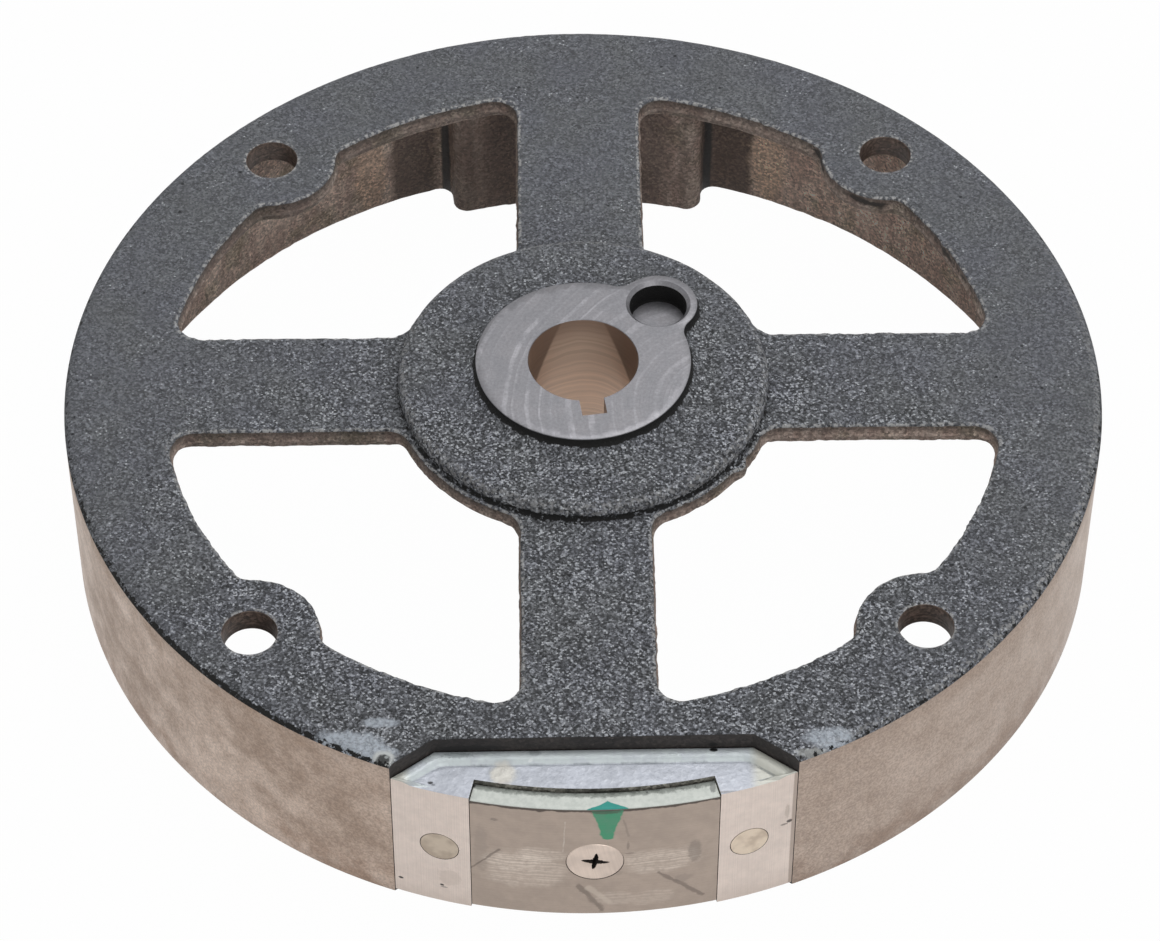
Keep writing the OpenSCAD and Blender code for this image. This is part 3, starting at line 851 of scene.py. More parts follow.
def retainer_rows(magnets):
    """Rows of the retainer: height, inset from the pocket, inset from the rim and zone."""
    low, top = magnets.retainer_low, magnets.retainer_top
    sunk = top - magnets.retainer_step
    rows = [(low, 0.3 * MM, 0.3 * MM, "side"), (low + 0.3 * MM, 0, 0, "side")]
    rows += [(low + (sunk - low) * i / 12, 0, 0, "side") for i in range(1, 12)]
    rows += [(z + up * MM, inset * MM, pull * MM, zone) for z, up, inset, pull, zone in (
        (sunk, -0.4, 0, 0, "side"), (sunk, 0, 0.02, 0, "side"), (top, -0.3, 0.05, 0, "side"),
        (top, -0.08, 0.2, 0.04, "band"), (top, 0, 0.5, 0.15, "band"), (top, -0.02, 0.95, 0.3, "band"),
        (top, -0.06, 1.5, 0.45, "band"), (top, -0.16, 2.05, 0.6, "band"), (top, -0.42, 2.5, 0.75, "band"),
        (sunk, 0.1, 2.8, 0.9, "band"), (sunk, -0.04, 2.95, 1.05, "crease"),
        (sunk, 0.02, 3.15, 1.2, "crease"), (sunk, 0, 3.5, 1.5, "cast"), (sunk, 0, 4.1, 2.0, "cast"),
    )]
    return rows


def patch(shell, rows, holes, spacing, zone, flat, place):
    """Fills a stretch of wall round its holes. flat() lays it out and place() puts it back."""
    border = rows[0] + [row[-1] for row in rows[1:-1]] + rows[-1][::-1] + [row[0] for row in rows[-2:0:-1]]
    shell.fill([[flat(p) for p in border], *holes], spacing, zone, place)


def on_cylinder(magnets, radius):
    """Functions that lay points of a cylinder round the axis out flat, and put flat points back on it."""
    middle = degrees(magnets.turn) - 90

    def flat(p):
        return (radians((angle_of(Vector(p)) - middle + 180) % 360 - 180) * radius, p[2])

    def place(s, z):
        p = at(radius, middle + degrees(s / radius))
        return (p.x, p.y, z)

    return flat, place


def round_hole(magnets, radius, swing, size, steps=PIN_STEPS):
    """A round hole square to the rim, as flat points of the cylinder of that radius."""
    points = []
    for i in range(steps):
        u = size * cos(2 * math.pi * i / steps)
        s = (swing + math.asin(u / radius)) * radius
        points.append((s, magnets.height + size * sin(2 * math.pi * i / steps)))
    return points


def directions(magnets, swing=0):
    """Outwards at the group's middle, turned by swing, and the direction across it."""
    out = at(1, degrees(magnets.turn + swing) - 90)
    return out, Vector((-out.y, out.x))


def bored_ring(magnets, distance, swing, size, steps=PIN_STEPS):
    """A ring of points square to the hole's line, at that distance from the axis."""
    out, across = directions(magnets, swing)
    ring = []
    for i in range(steps):
        turned = 2 * math.pi * i / steps
        p = distance * out + size * cos(turned) * across
        ring.append((p.x, p.y, magnets.height + size * sin(turned)))
    return ring


def square_loop(left, right, low, high, steps):
    """A square-cornered loop with that many steps to a side."""
    corners = [(left, low), (right, low), (right, high), (left, high)]
    points = []
    for (x, y), (u, v) in zip(corners, corners[1:] + corners[:1]):
        points += [(x + (u - x) * i / steps, y + (v - y) * i / steps) for i in range(steps)]
    return points


def border_height(z, sunk, run):
    """Height of a row's point. The border fades into the sunk top, run past the pocket's end."""
    if z < sunk - 0.1 * MM:
        return z
    t = min(1, max(0, (run - BORDER_RUN) / BORDER_FADE))
    return sunk + (z - sunk) * (1 - t * t * (3 - 2 * t))


def build_retainer(wheel, magnets):
    shell = Shell()
    outline = retainer_half(wheel, magnets, 0, 0)
    counts = counts_for(outline, 0.8 * MM)
    ends = list(accumulate(counts))
    loops = []
    sunk = magnets.retainer_top - magnets.retainer_step
    arc = outline[3][0] / counts[3]
    lip = ends[2] + math.ceil((BORDER_RUN + BORDER_FADE) / arc)
    for z, inset, pull, zone in retainer_rows(magnets):
        half = whole_trace(retainer_half(wheel, magnets, inset, pull), counts)
        right, left = both_sides(half, magnets)
        heights = [border_height(z, sunk, (k - ends[2]) * arc) for k in range(len(half))]
        loop = zip(right + left[-2:0:-1], heights + heights[-2:0:-1])
        loops.append(([(p.x, p.y, height) for p, height in loop], zone))
    rows = [loop for loop, _ in loops]
    whole = len(rows[0])
    upright = sum(1 for _, inset, pull, _ in retainer_rows(magnets) if inset == pull == 0)
    wall = rows[1 : 1 + upright]

    floor, _, slope, rim, side, _ = ends
    seat_flat, seat_place = on_cylinder(magnets, magnets.seat)
    rim_flat, rim_place = on_cylinder(magnets, wheel.radius)
    back = magnets.floor + magnets.play
    turned = Matrix.Rotation(magnets.turn, 2)

    def back_flat(p):
        return ((Vector(p[:2]) @ turned).x, p[2])

    def back_place(x, z):
        p = turned @ Vector((x, -back))
        return (p.x, p.y, z)

    half, low, top = magnets.cavity_half, magnets.cavity_floor, magnets.cavity_top
    mouth = square_loop(-half, half, low, top, CAVITY_STEPS)
    seat_mouth = [(math.asin(x / magnets.seat) * magnets.seat, z) for x, z in mouth]
    patch(shell, around(wall, -floor, floor), [mouth], 1.6 * MM, "seam", back_flat, back_place)
    patch(shell, around(wall, side, whole - side), [seat_mouth], 1.6 * MM, "seam", seat_flat, seat_place)
    shell.strip([[back_place(*p) for p in mouth], [seat_place(*p) for p in seat_mouth]], "seam")

    hole = magnets.pin + magnets.play
    for first, last, way in ((slope, rim, 1), (whole - rim, whole - slope, -1)):
        swing = way * magnets.pin_turn
        ring = round_hole(magnets, wheel.radius, swing, hole)
        patch(shell, around(wall, first, last), [ring], 1.2 * MM, "side", rim_flat, rim_place)
        depths = [wheel.radius - d * MM for d in (1.5, 4, 7.5)]
        tube = [bored_ring(magnets, d, swing, hole) for d in depths]
        shell.strip([[rim_place(*p) for p in ring], *tube], "seam")
        shell.face([shell.point(p) for p in tube[-1]], "seam")

    seams = (floor, slope), (rim, side), (whole - side, whole - rim), (whole - slope, whole - floor)
    for first, last in seams:
        shell.band(wall, first, last, "seam")
    spans = (
        (-slope, slope, "seam"), (slope, rim, "side"), (rim, whole - rim, "seam"),
        (whole - rim, whole - slope, "side"),
    )
    for i in (1, *range(1 + upright, len(rows))):
        pair, zone = rows[i - 1 : i + 1], loops[i][1]
        if zone == "side":
            for first, last, own in spans:
                shell.band(pair, first, last, own)
        else:
            shell.band(pair, -lip, lip, zone)
            shell.band(pair, lip, whole - lip, "cast")
    shell.level([rows[-1]], 0.9 * MM, "cast", rows[-1][0][2])
    shell.level([rows[0]], 1.8 * MM, "side", magnets.retainer_low)
    return shell.object("retainer", RETAINER_ZONES)


def shoe_loop(wheel, magnets, inset):
    """The pole shoe's outline: its face, its right end, its inner face and its left end."""
    half = degrees(magnets.shoe_half - inset / wheel.radius)
    outer, inner = wheel.radius - inset, magnets.shoe_back + inset
    middle = degrees(magnets.turn) - 90
    corners = [at(r, middle + s * half) for r, s in ((outer, 1), (inner, 1), (inner, -1), (outer, -1))]
    return trace([
        bend(ORIGIN, outer, middle - half, middle + half),
        straight(corners[0], corners[1]),
        bend(ORIGIN, inner, middle + half, middle - half, -1),
        straight(corners[2], corners[3]),
    ], SHOE_STEPS)


def build_shoe(wheel, magnets):
    shell = Shell()
    low, top = magnets.shoe_low, magnets.shoe_top
    rows = [(low, 0.22 * MM), (low + 0.22 * MM, 0)]
    rows += [(low + (top - low) * i / 12, 0) for i in range(1, 12)]
    rows += [(top - 0.16 * MM, 0), (top - 0.05 * MM, 0.05 * MM), (top, 0.18 * MM)]
    loops = [raised(shoe_loop(wheel, magnets, inset), z) for z, inset in rows]
    wall = loops[1:-2]
    face, end, back, whole = accumulate(SHOE_STEPS)
    face_flat, face_place = on_cylinder(magnets, wheel.radius)
    back_flat, back_place = on_cylinder(magnets, magnets.shoe_back)
    head = magnets.head + HEAD_GAP
    mouth = round_hole(magnets, wheel.radius, 0, head)
    bore = magnets.shank + magnets.play
    throat = round_hole(magnets, magnets.shoe_back, 0, bore)
    patch(shell, around(wall, 0, face), [mouth], 1.2 * MM, "face", face_flat, face_place)
    patch(shell, around(wall, end, back), [throat], 1.6 * MM, "seam", back_flat, back_place)
    rim = bored_ring(magnets, wheel.radius - 0.35 * MM, 0, head)
    cone = bored_ring(magnets, wheel.radius - magnets.head_depth, 0, bore)
    shell.strip([[face_place(*p) for p in mouth], rim, cone, [back_place(*p) for p in throat]], "seam")
    for first, last in ((face, end), (back, whole)):
        shell.band(wall, first, last, "seam")
    shell.strip(loops[:2], "face")
    shell.strip(loops[-3:], "top")
    shell.level([loops[-1]], 0.8 * MM, "top", top)
    shell.level([loops[0]], 1.6 * MM, "face", low)
    return shell.object("pole_shoe_piece", SHOE_ZONES)


def recess_outline(magnets, shrink):
    """Outline of the cross recess, with uneven arms that thin towards their tips."""
    points = []
    reach, half = (1.04, 0.93, 1.0, 0.9), (0.72 * MM, 0.62 * MM, 0.78 * MM, 0.6 * MM)
    thinning, roundness, wear, wear_scale, tilt = 0.62, 5, 0.22, 5, 8
    for i in range(RECESS_STEPS):
        turned = 360 * i / RECESS_STEPS
        arm = round(turned / 90) % 4
        off = radians((turned + 45) % 90 - 45)
        length_out = magnets.recess * reach[arm]
        slim = thinning * half[arm] / length_out
        side = half[arm] / (abs(sin(off)) + slim * cos(off) + 1e-6)
        tip = length_out / max(cos(off), 0.5)
        r = (side**-roundness + tip**-roundness) ** (-1 / roundness)
        r *= 1 + wear * noise.noise(at(wear_scale, turned).to_3d() + Vector((0, 0, arm)))
        p = at(r * shrink, turned - tilt)
        points.append((p.x, p.y))
    return points


def build_screw(wheel, magnets):
    shell = Shell()
    radius = wheel.radius
    out, across = directions(magnets)

    def place(u, w, sunk=0):
        p = (sqrt(radius**2 - u**2) - sunk) * out + u * across
        return (p.x, p.y, magnets.height + w)

    edges = [(magnets.head - inset * MM, sunk * MM) for inset, sunk in ((0.15, 0), (0, 0.13), (0.03, 0.3))]
    rings = [[place(*p, sunk) for p in circle_points(ORIGIN, size, SCREW_STEPS)] for size, sunk in edges]
    rim = circle_points(ORIGIN, edges[0][0], SCREW_STEPS)
    shell.fill([rim, recess_outline(magnets, 1.06)], 0.5 * MM, "face", place)
    shank, low = magnets.shank, magnets.screw_end
    rings += [bored_ring(magnets, distance, 0, size, SCREW_STEPS) for size, distance in (
        (shank, radius - magnets.head_depth), (shank, (radius + low) / 2), (shank - 0.3 * MM, low),
    )]
    shell.strip(rings[:2], "face")
    shell.strip(rings[1:], "seam")
    shell.face([shell.point(p) for p in rings[-1]], "seam")
    walls = [(1.06, 0), (1.0, 0.1 * MM), (0.94, 0.5 * MM), (0.7, magnets.recess_depth)]
    loops = [[place(*p, sunk) for p in recess_outline(magnets, shrink)] for shrink, sunk in walls]
    shell.strip(loops[:2], "face")
    shell.strip(loops[1:], "seam")
    floor = recess_outline(magnets, walls[-1][0])
    shell.fill([floor], 0.4 * MM, "seam", lambda u, w: place(u, w, magnets.recess_depth))
    return shell.object("screw", SCREW_ZONES)


# ---------------------------------------------------------------- shader nodes

def display(code):
    """Scene linear colour of a display colour written as six hexadecimal digits."""
    parts = [int(code[i : i + 2], 16) / 255 for i in (0, 2, 4)]
    return tuple(c / 12.92 if c <= 0.04045 else ((c + 0.055) / 1.055) ** 2.4 for c in parts)


def sign(operation, swapped=False):
    """An arithmetic sign, which adds a node for two values."""

    def act(value, other):
        return value.graph.calc(operation, *((other, value) if swapped else (value, other)))

    return act


class Value:
    """The output of a node, ready for arithmetic."""

    __add__ = __radd__ = sign("ADD")
    __sub__, __rsub__ = sign("SUBTRACT"), sign("SUBTRACT", swapped=True)
    __mul__ = __rmul__ = sign("MULTIPLY")
    __truediv__, __rtruediv__ = sign("DIVIDE"), sign("DIVIDE", swapped=True)

    def __init__(self, graph, socket):
        self.graph = graph
        self.socket = socket
        self.kind = socket.type


class Graph:
    """Short calls that add nodes to a material or a node group. Lengths in it are in millimetres."""

    def __init__(self, tree):
        self.tree = tree

    def add(self, kind, inputs=(), **settings):
        """Adds a node and gives its outputs by name and by number."""
        node = self.tree.nodes.new(kind)
        for name, value in settings.items():
            setattr(node, name, value)
        for name, value in dict(inputs).items():
            self.feed(node.inputs[name], value)
        found = {}
        for i, socket in enumerate(node.outputs):
            found[i] = found[socket.name] = Value(self, socket)
        return found

    def feed(self, socket, value):
        """Links a value to a socket or sets a number, a point or a colour on it."""
        if isinstance(value, Value):
            self.tree.links.new(value.socket, socket)
        elif socket.type == "RGBA":
            socket.default_value = (*(display(value) if isinstance(value, str) else value), 1)
        elif socket.type == "VECTOR" and np.isscalar(value):
            socket.default_value = [value] * 3
        else:
            socket.default_value = value

    def calc(self, operation, *values):
        """A Math node, or a Vector Math node where one of the values is a point or a colour."""
        wide = any(isinstance(v, tuple) or getattr(v, "kind", "VALUE") != "VALUE" for v in values)
        kind = "ShaderNodeVectorMath" if wide else "ShaderNodeMath"
        found = self.add(kind, enumerate(values), operation=operation)
        return found["Value" if operation in ("LENGTH", "DISTANCE", "DOT_PRODUCT") else 0]

    def between(self, value, low, high, first=0, last=1):
        """value taken smoothly from first at low to last at high."""
        inputs = {"Value": value, "From Min": low, "From Max": high, "To Min": first, "To Max": last}
        return self.add("ShaderNodeMapRange", inputs, interpolation_type="SMOOTHSTEP")["Result"]

    def tint(self, share, colour, dark, light):
        """A colour between a darker and a lighter tint of one colour."""
        return self.mix(share, np.array(colour) * dark, np.array(colour) * light)

    def mix(self, share, first, second):
        """A colour between two colours."""
        return self.add("ShaderNodeMix", {0: share, 6: first, 7: second}, data_type="RGBA")[2]

    @cached_property
    def place(self):
        """The point in the object's own frame."""
        return self.add("ShaderNodeTexCoord")["Object"] * (1 / MM)

    @cached_property
    def xyz(self):
        """That point's three coordinates."""
        return self.split(self.place)

    def split(self, vector):
        """A vector's three parts."""
        found = self.add("ShaderNodeSeparateXYZ", {0: vector})
        return found[0], found[1], found[2]

    def noise(self, size, detail=2.0, roughness=0.5, place=None):
        """Noise with features of about that size."""
        inputs = {"Vector": place or self.place, "Scale": 1 / size, "Detail": detail}
        return self.add("ShaderNodeTexNoise", {**inputs, "Roughness": roughness})["Fac"]

    def cells(self, size):
        """Scattered cells of about that size: the distance from a cell's point, and a number of its own."""
        found = self.add("ShaderNodeTexVoronoi", {"Vector": self.place, "Scale": 1 / size})
        return found["Distance"], self.split(found["Color"])[0]

    def attribute(self, name):
        return self.add("ShaderNodeAttribute", attribute_name=name)["Fac"]

    def surface(self, base, roughness, height, depth, metal=0, specular=0.5):
        """Ends a material in a surface with bumps of that depth."""
        normal = self.add("ShaderNodeBump", {"Height": height, "Distance": depth * MM})["Normal"]
        inputs = {"Base Color": base, "Roughness": roughness, "Metallic": metal, "Normal": normal}
        shader = self.add("ShaderNodeBsdfPrincipled", {**inputs, "Specular IOR Level": specular})["BSDF"]
        self.add("ShaderNodeOutputMaterial", {"Surface": shader})


def shared(name, **defaults):
    """Turns a function into a node group with those inputs, which a call adds to a Graph."""

    def wrap(fill):
        @cache
        def tree():
            made = bpy.data.node_groups.new(name, "ShaderNodeTree")
            for label, value in defaults.items():
                kind = "NodeSocketVector" if isinstance(value, tuple) else "NodeSocketFloat"
                socket = made.interface.new_socket(name=label, in_out="INPUT", socket_type=kind)
                socket.default_value = value
            g = Graph(made)
            found = fill(g, g.add("NodeGroupInput"))
            for label in found:
                made.interface.new_socket(name=label, in_out="OUTPUT", socket_type="NodeSocketFloat")
            g.add("NodeGroupOutput", found)
            return made

        return lambda g, **inputs: g.add("ShaderNodeGroup", inputs, node_tree=tree())

    return wrap


@shared("Cast Grit", Grain=0.6, Clump=7, Contrast=6, Flakes=0.6)
def cast_grit(g, given):
    """As-cast iron: fine light and shade, pale flakes (partly painted glints), dark pits, a slow cloud and
    the height of it all.
    """
    near, number = g.cells(given["Grain"])
    fine = g.noise(given["Grain"] * 1.3, 3, 0.7)
    clump = g.noise(given["Clump"], 3, 0.6)
    swing = g.between(clump, 0.3, 0.7, 0.75, 1.2) * given["Contrast"]
    shade = g.calc("EXPONENT", (number * 0.55 + fine - 0.8) * swing)
    many = clump * 0.4 + given["Flakes"] * 0.12 + number
    far, own = g.cells(3.1)
    hollow = g.calc("GREATER_THAN", own, 0.86) * g.between(far, 0.15, 0.06)
    return {
        "Shade": g.calc("MINIMUM", shade, 3.4),
        "Specks": g.calc("GREATER_THAN", many, 1.22) * g.between(near, 0.55, 0.3),
        "Pits": hollow,
        "Cloud": g.between(g.noise(14, 4, 0.6), 0.3, 0.7),
        "Height": number * 0.4 + fine - hollow,
    }


@shared("Cutter Marks", Distance=0, Pitch=0.3, Wander=0.1)
def cutter_marks(g, given):
    """Marks left by a cutting tool: uneven lines across a distance."""
    along = (given["Distance"] + (g.noise(9) - 0.5) * given["Wander"]) / given["Pitch"]
    inputs = {"W": along, "Scale": 1, "Detail": 3}
    lines = g.add("ShaderNodeTexNoise", inputs, noise_dimensions="1D")["Fac"]
    return {"Lines": g.between(lines, 0.3, 0.7)}


@shared("Blot", Centre=(0, 0, 0), Reach=(10, 10, 10), Ragged=0.5, Grain=3)
def blot(g, given):
    """One soft ragged patch, used for smears, stains, dabs and patches of painted shade."""
    away = g.calc("LENGTH", (g.place - given["Centre"]) / given["Reach"])
    torn = (g.noise(given["Grain"], 4, 0.6) - 0.5) * given["Ragged"]
    return {"Mask": g.between(away + torn, 1, 0.6)}


@shared("Scratch", From=(0, 0, 0), To=(10, 0, 0), Width=0.3, Bow=0.9)
def scratch(g, given):
    """A thin line between two points, used for worn scratches and for painted shadow lines."""
    bowed = g.add("ShaderNodeTexNoise", {"Vector": g.place, "Scale": 1 / 5, "Detail": 2})["Color"]
    off = g.place + (bowed - (0.5, 0.5, 0.5)) * given["Bow"] - given["From"]
    run = given["To"] - given["From"]
    along = g.calc("DOT_PRODUCT", off, run) / g.calc("DOT_PRODUCT", run, run)
    along = g.calc("MINIMUM", g.calc("MAXIMUM", along, 0), 1)
    thinned = given["Width"] * g.between(g.noise(1.6, 3), 0.2, 0.7, 0.4, 1.3)
    return {"Mask": g.between(g.calc("DISTANCE", off, run * along) / thinned, 1.1, 0.4)}


@shared("Worn Stipple", Size=12, Lean=0.8, Grain=0.5)
def worn_stipple(g, given):
    """Worn machined metal: slow mottled stains that lean along the rim, and a fine stipple."""
    x, y, z = g.xyz
    leant = g.add("ShaderNodeCombineXYZ", {"X": z * given["Lean"] + x, "Y": y, "Z": z})["Vector"]
    slow = g.noise(given["Size"], 5, 0.65, leant)
    mottle = g.noise(given["Size"] * 0.22, 3, 0.6)
    fine = g.noise(given["Grain"], 3, 0.7)
    return {
        "Stains": g.between(mottle * 0.45 + slow * 0.55, 0.32, 0.68),
        "Stipple": g.between(fine, 0.3, 0.7),
        "Height": fine,
    }


def new_graph(data):
    """The empty Graph of a material or a world."""
    data.use_nodes = True
    data.node_tree.nodes.clear()
    return Graph(data.node_tree)


def finish(fill):
    """Turns a function that fills a Graph into one that makes the material of its name."""

    def make(look):
        made = bpy.data.materials.new(fill.__name__)
        fill(new_graph(made), look)
        return made

    return make


# ---------------------------------------------------------------- finishes

class FlywheelFinishes(PropertyGroup):
    """Colours of the main finishes."""

    skin: colour("Cast skin", "Dark as-cast iron of the top faces", "606265")
    # Pale grains of the cast skin, which also serve as painted glints.
    speck: colour("Specks", "Pale grains in the cast skin", "c8cbd0")
    wall: colour("Cast walls", "Brown iron of the window walls and the skirt's inside", "7b6b63")
    wall_patch: colour("Wall patches", "Lighter patches on the cast walls", "978a81")
    rim: colour("Turned rim", "Machined side of the rim", "c5b2a4")
    rim_stain: colour("Rim stain", "Darker stains on the turned rim", "86705f")
    pad: colour("Hub pad", "Machined face of the hub", "757579")
    bore: colour("Bore", "Machined shaft bore", "e8cdb7")
    retainer: colour("Retainer top", "Cast top of the aluminium", "afb3bc")
    retainer_side: colour("Retainer sides", "Machined sides of the aluminium", "eadad0")
    shoe: colour("Pole shoe", "Turned face of the pole shoe", "b5a497")
    screw: colour("Screw", "Face of the screw", "e8d5c7")
    paint: colour("Paint", "Timing mark on the pole shoe", "2c946d")


# Radius, in millimetres, at which the retainer's lines have their spacing
ROUND = 105


def radius_at(g):
    """Distance from the shaft's axis."""
    x, y, _ = g.xyz
    return g.calc("SQRT", x * x + y * y)


def blots(g, base, marks):
    """Lays soft patches over a colour, each with its centre, reach, share, colour and raggedness."""
    for centre, reach, share, code, ragged in marks:
        mask = blot(g, Centre=centre, Reach=reach, Ragged=ragged, Grain=0.6 * min(reach))["Mask"]
        base = g.mix(mask * share, base, code)
    return base


def scratches(g, base, marks):
    """Lays thin lines over a colour, scratches and painted shadow lines, each with its two ends, width, share
    and colour.
    """
    for start, end, width, share, code in marks:
        mask = scratch(g, From=start, To=end, Width=width)["Mask"]
        base = g.mix(mask * share, base, code)
    return base


@finish
def cast_skin(g, look):
    y = g.xyz[1]
    far = g.calc("DISTANCE", g.place, (0, -58, 40))
    near = g.between(far, 125, 45)
    strong = near * 3 + 1.8
    grit = cast_grit(g, Grain=0.4, Clump=8, Contrast=strong, Flakes=near)
    base = g.tint(grit["Cloud"], look.skin, 1, (0.98, 0.98, 1.04))
    base *= grit["Shade"] * g.between(near, 0, 1, 1.13, 0.98)
    # Pale specks: part real grains, part painted glints.
    base = g.mix(grit["Specks"] * 0.85, base, look.speck)
    base = g.mix(grit["Pits"] * 0.8, base, "1b1c1f")
    # Pale edges, part wear and part painted highlight, a little lighter towards the back.
    torn = g.between(g.noise(0.8, 3), 0.46, 0.6, 0, 0.8)
    pale = g.mix(g.between(y, 0, 60), "aeaeae", "bdbcbb")
    base = g.mix(g.attribute("edge") * torn, base, pale)
    smear = 0
    for centre, reach, share in (
        ((-46.5, -92.4, 39.8), (8.5, 3.4, 3), 0.9),
        ((-40.2, -95, 39.8), (4.6, 2.8, 3), 0.95),
        ((-39.5, -87.6, 39.8), (4, 1.5, 3), 0.8),
        ((45.5, -92.6, 39.8), (6, 3.2, 3), 0.85),
    ):
        mask = blot(g, Centre=centre, Reach=reach, Ragged=1.1, Grain=2.6)["Mask"]
        smear = g.calc("MAXIMUM", smear, mask * share)
    rubbed = g.between(g.noise(0.7, 3, 0.7), 0.36, 0.6, 0.5, 1)
    base = g.mix(smear * rubbed, base, "bdc5cf")
    base = blots(g, base, (
        ((-38.9, -95.9, 39.2), (2.6, 2.1, 2), 0.95, "cfd2d1", 0.6),
        ((-38.9, -96.1, 39.2), (1.6, 1.2, 2), 0.95, "3b3c3c", 0.6),
        ((-38.3, -95.8, 39.2), (0.5, 0.4, 2), 0.8, "b5bab9", 0.5),
        ((42.5, -95.6, 39.2), (5, 1.2, 2), 0.6, "b3b5b3", 1.2),
    ))
    # Painted shade, near black, at the disc's foot, on the pad's wall and along the rim's corner.
    ragged = g.between(g.noise(1.1, 4, 0.65), 0.32, 0.68, 0.1, 0.9)
    painted_shade_mask = g.between(g.attribute("grime") + ragged, 0.85, 1.1)
    base = g.mix(painted_shade_mask, base, "060606")
    rough = grit["Specks"] * -0.3 + 0.75
    g.surface(base, rough, grit["Height"], 0.4, specular=0.3)


@finish
def cast_wall(g, look):
    x, y, z = g.xyz
    grit = cast_grit(g, Grain=0.5, Clump=9, Contrast=1.8, Flakes=0)
    drawn = g.place * (1, 1, 0.3)
    patches = g.between(g.noise(3.2, 5, 0.65, drawn), 0.35, 0.7)
    base = g.mix(patches, look.wall, look.wall_patch)
    base = g.mix(g.between(g.noise(9, 3), 0.5, 0.68, 0, 0.45), base, "4d4c39")
    # Painted light: the walls lighter towards the back, up to 2.2 times, and towards the right, up to 1.5
    # times.
    base *= g.between(y, 25, 62, 1, 2.2)
    base *= g.between(x, 10, 70, 1, 1.5)
    base = blots(g, base, (
        ((0, 92, 18), (30.2, 9, 60), 0.9, "5e4f48", 0.05),
        ((33, 94.5, 14), (8, 7, 60), 0.95, "5a4b43", 0.1),
        ((42.2, 91, 12), (5.2, 6, 14), 0.8, "e6cbb5", 0.7),
        ((-36, 94, 14), (6.5, 7, 60), 0.9, "5a4c44", 0.1),
        ((-45.4, 89.5, 12), (4.4, 5, 15), 0.7, "cfb5a1", 0.9),
        # Painted shade: dark bars in the corners beside the balance weight, and darker patches at its sides.
        ((28.8, 97, 14), (1.6, 4, 60), 0.97, "0c0908", 0.1),
        ((-28.8, 97, 14), (1.6, 4, 60), 0.97, "0c0908", 0.1),
        ((26, 89, 14), (4.5, 8, 60), 0.45, "2c2420", 0.2),
        ((-26, 89, 14), (4.5, 8, 60), 0.45, "2c2420", 0.2),
    ))
    base *= grit["Shade"]
    # Painted shade: the upper walls at the back darker, and every wall darker just under the top edge.
    upper = g.between(z, 34, 35.4) * g.between(y, 20, 50)
    base = g.mix(upper * 0.62, base, "251f1c")
    base *= g.between(z, 37.6, 39.2, 1, 0.45)
    base = g.mix(grit["Specks"] * 0.2, base, "94887c")
    base = g.mix(grit["Pits"] * 0.6, base, "231d1a")
    # Painted shadow lines under the overhanging top edges of the windows.
    base = scratches(g, base, (
        ((50.4, 69, 38.2), (52.1, 62.3, 38.2), 1.1, 0.95, "17120f"),
        ((55.8, 54.2, 38.2), (65.5, 50.6, 38.2), 1, 0.95, "17120f"),
        ((74.8, 41.2, 38.2), (78.1, 34.5, 38.2), 1.1, 0.95, "17120f"),
        ((78.8, 32.6, 38.2), (83, 20.6, 38.2), 0.8, 0.9, "1d1814"),
    ))
    g.surface(base, 0.72, grit["Height"], 0.25)


@finish
def turned_rim(g, look):
    x, _, z = g.xyz
    worn = worn_stipple(g, Size=26, Lean=0.9, Grain=0.55)
    lines = cutter_marks(g, Distance=z, Pitch=0.35, Wander=0.2)
    stained = (1 - worn["Stains"]) * g.between(x, 30, -70, 0.35, 0.8)
    base = g.mix(stained, look.rim, look.rim_stain)
    low = g.between(z, 11, 0, 0, 0.6) * g.between(worn["Stains"], 0.8, 0.2, 0.3, 1)
    base = g.mix(low, base, "8d705c")
    base = g.mix(g.between(z, 33, 39, 0, 0.5) * worn["Stains"], base, "7e7168")
    base = g.mix(lines["Lines"] * 0.1, base, "7d7066")
    base *= g.between(worn["Height"], 0.32, 0.68, 0.8, 1.2)
    # Painted light: the side lighter towards the left, from 0.9 times at the right to 1.2 times.
    base *= g.between(x, 60, -70, 0.9, 1.2)
    height = lines["Lines"] * 0.4 + worn["Height"]
    rough = g.between(worn["Stains"], 0, 1, 0.52, 0.42)
    g.surface(base, rough, height, 0.03, metal=0.5)


@finish
def faced_pad(g, look):
    x = g.xyz[0]
    swing = g.calc("DISTANCE", g.place, (31, -13, 46))
    marks = cutter_marks(g, Distance=swing, Pitch=2.2, Wander=1.6)
    fine = cutter_marks(g, Distance=swing, Pitch=0.5, Wander=1.2)
    broken = g.between(g.noise(5, 4, 0.65), 0.35, 0.65, 0.15, 1)
    base = g.tint(broken, look.pad, 0.94, (1.07, 1.05, 1.04))
    base = g.mix(fine["Lines"] * 0.2, base, "65666b")
    arcs = g.between(marks["Lines"], 0.55, 1) * g.between(x, 12, -12, 0.25, 0.5)
    base = g.mix(arcs * broken, base, "a5a4a9")
    grain = g.noise(0.6, 3, 0.7)
    base *= g.between(grain, 0.3, 0.7, 0.88, 1.12)
    height = marks["Lines"] + fine["Lines"] * 0.2
    g.surface(base, 0.4, height, 0.008, metal=0.6)


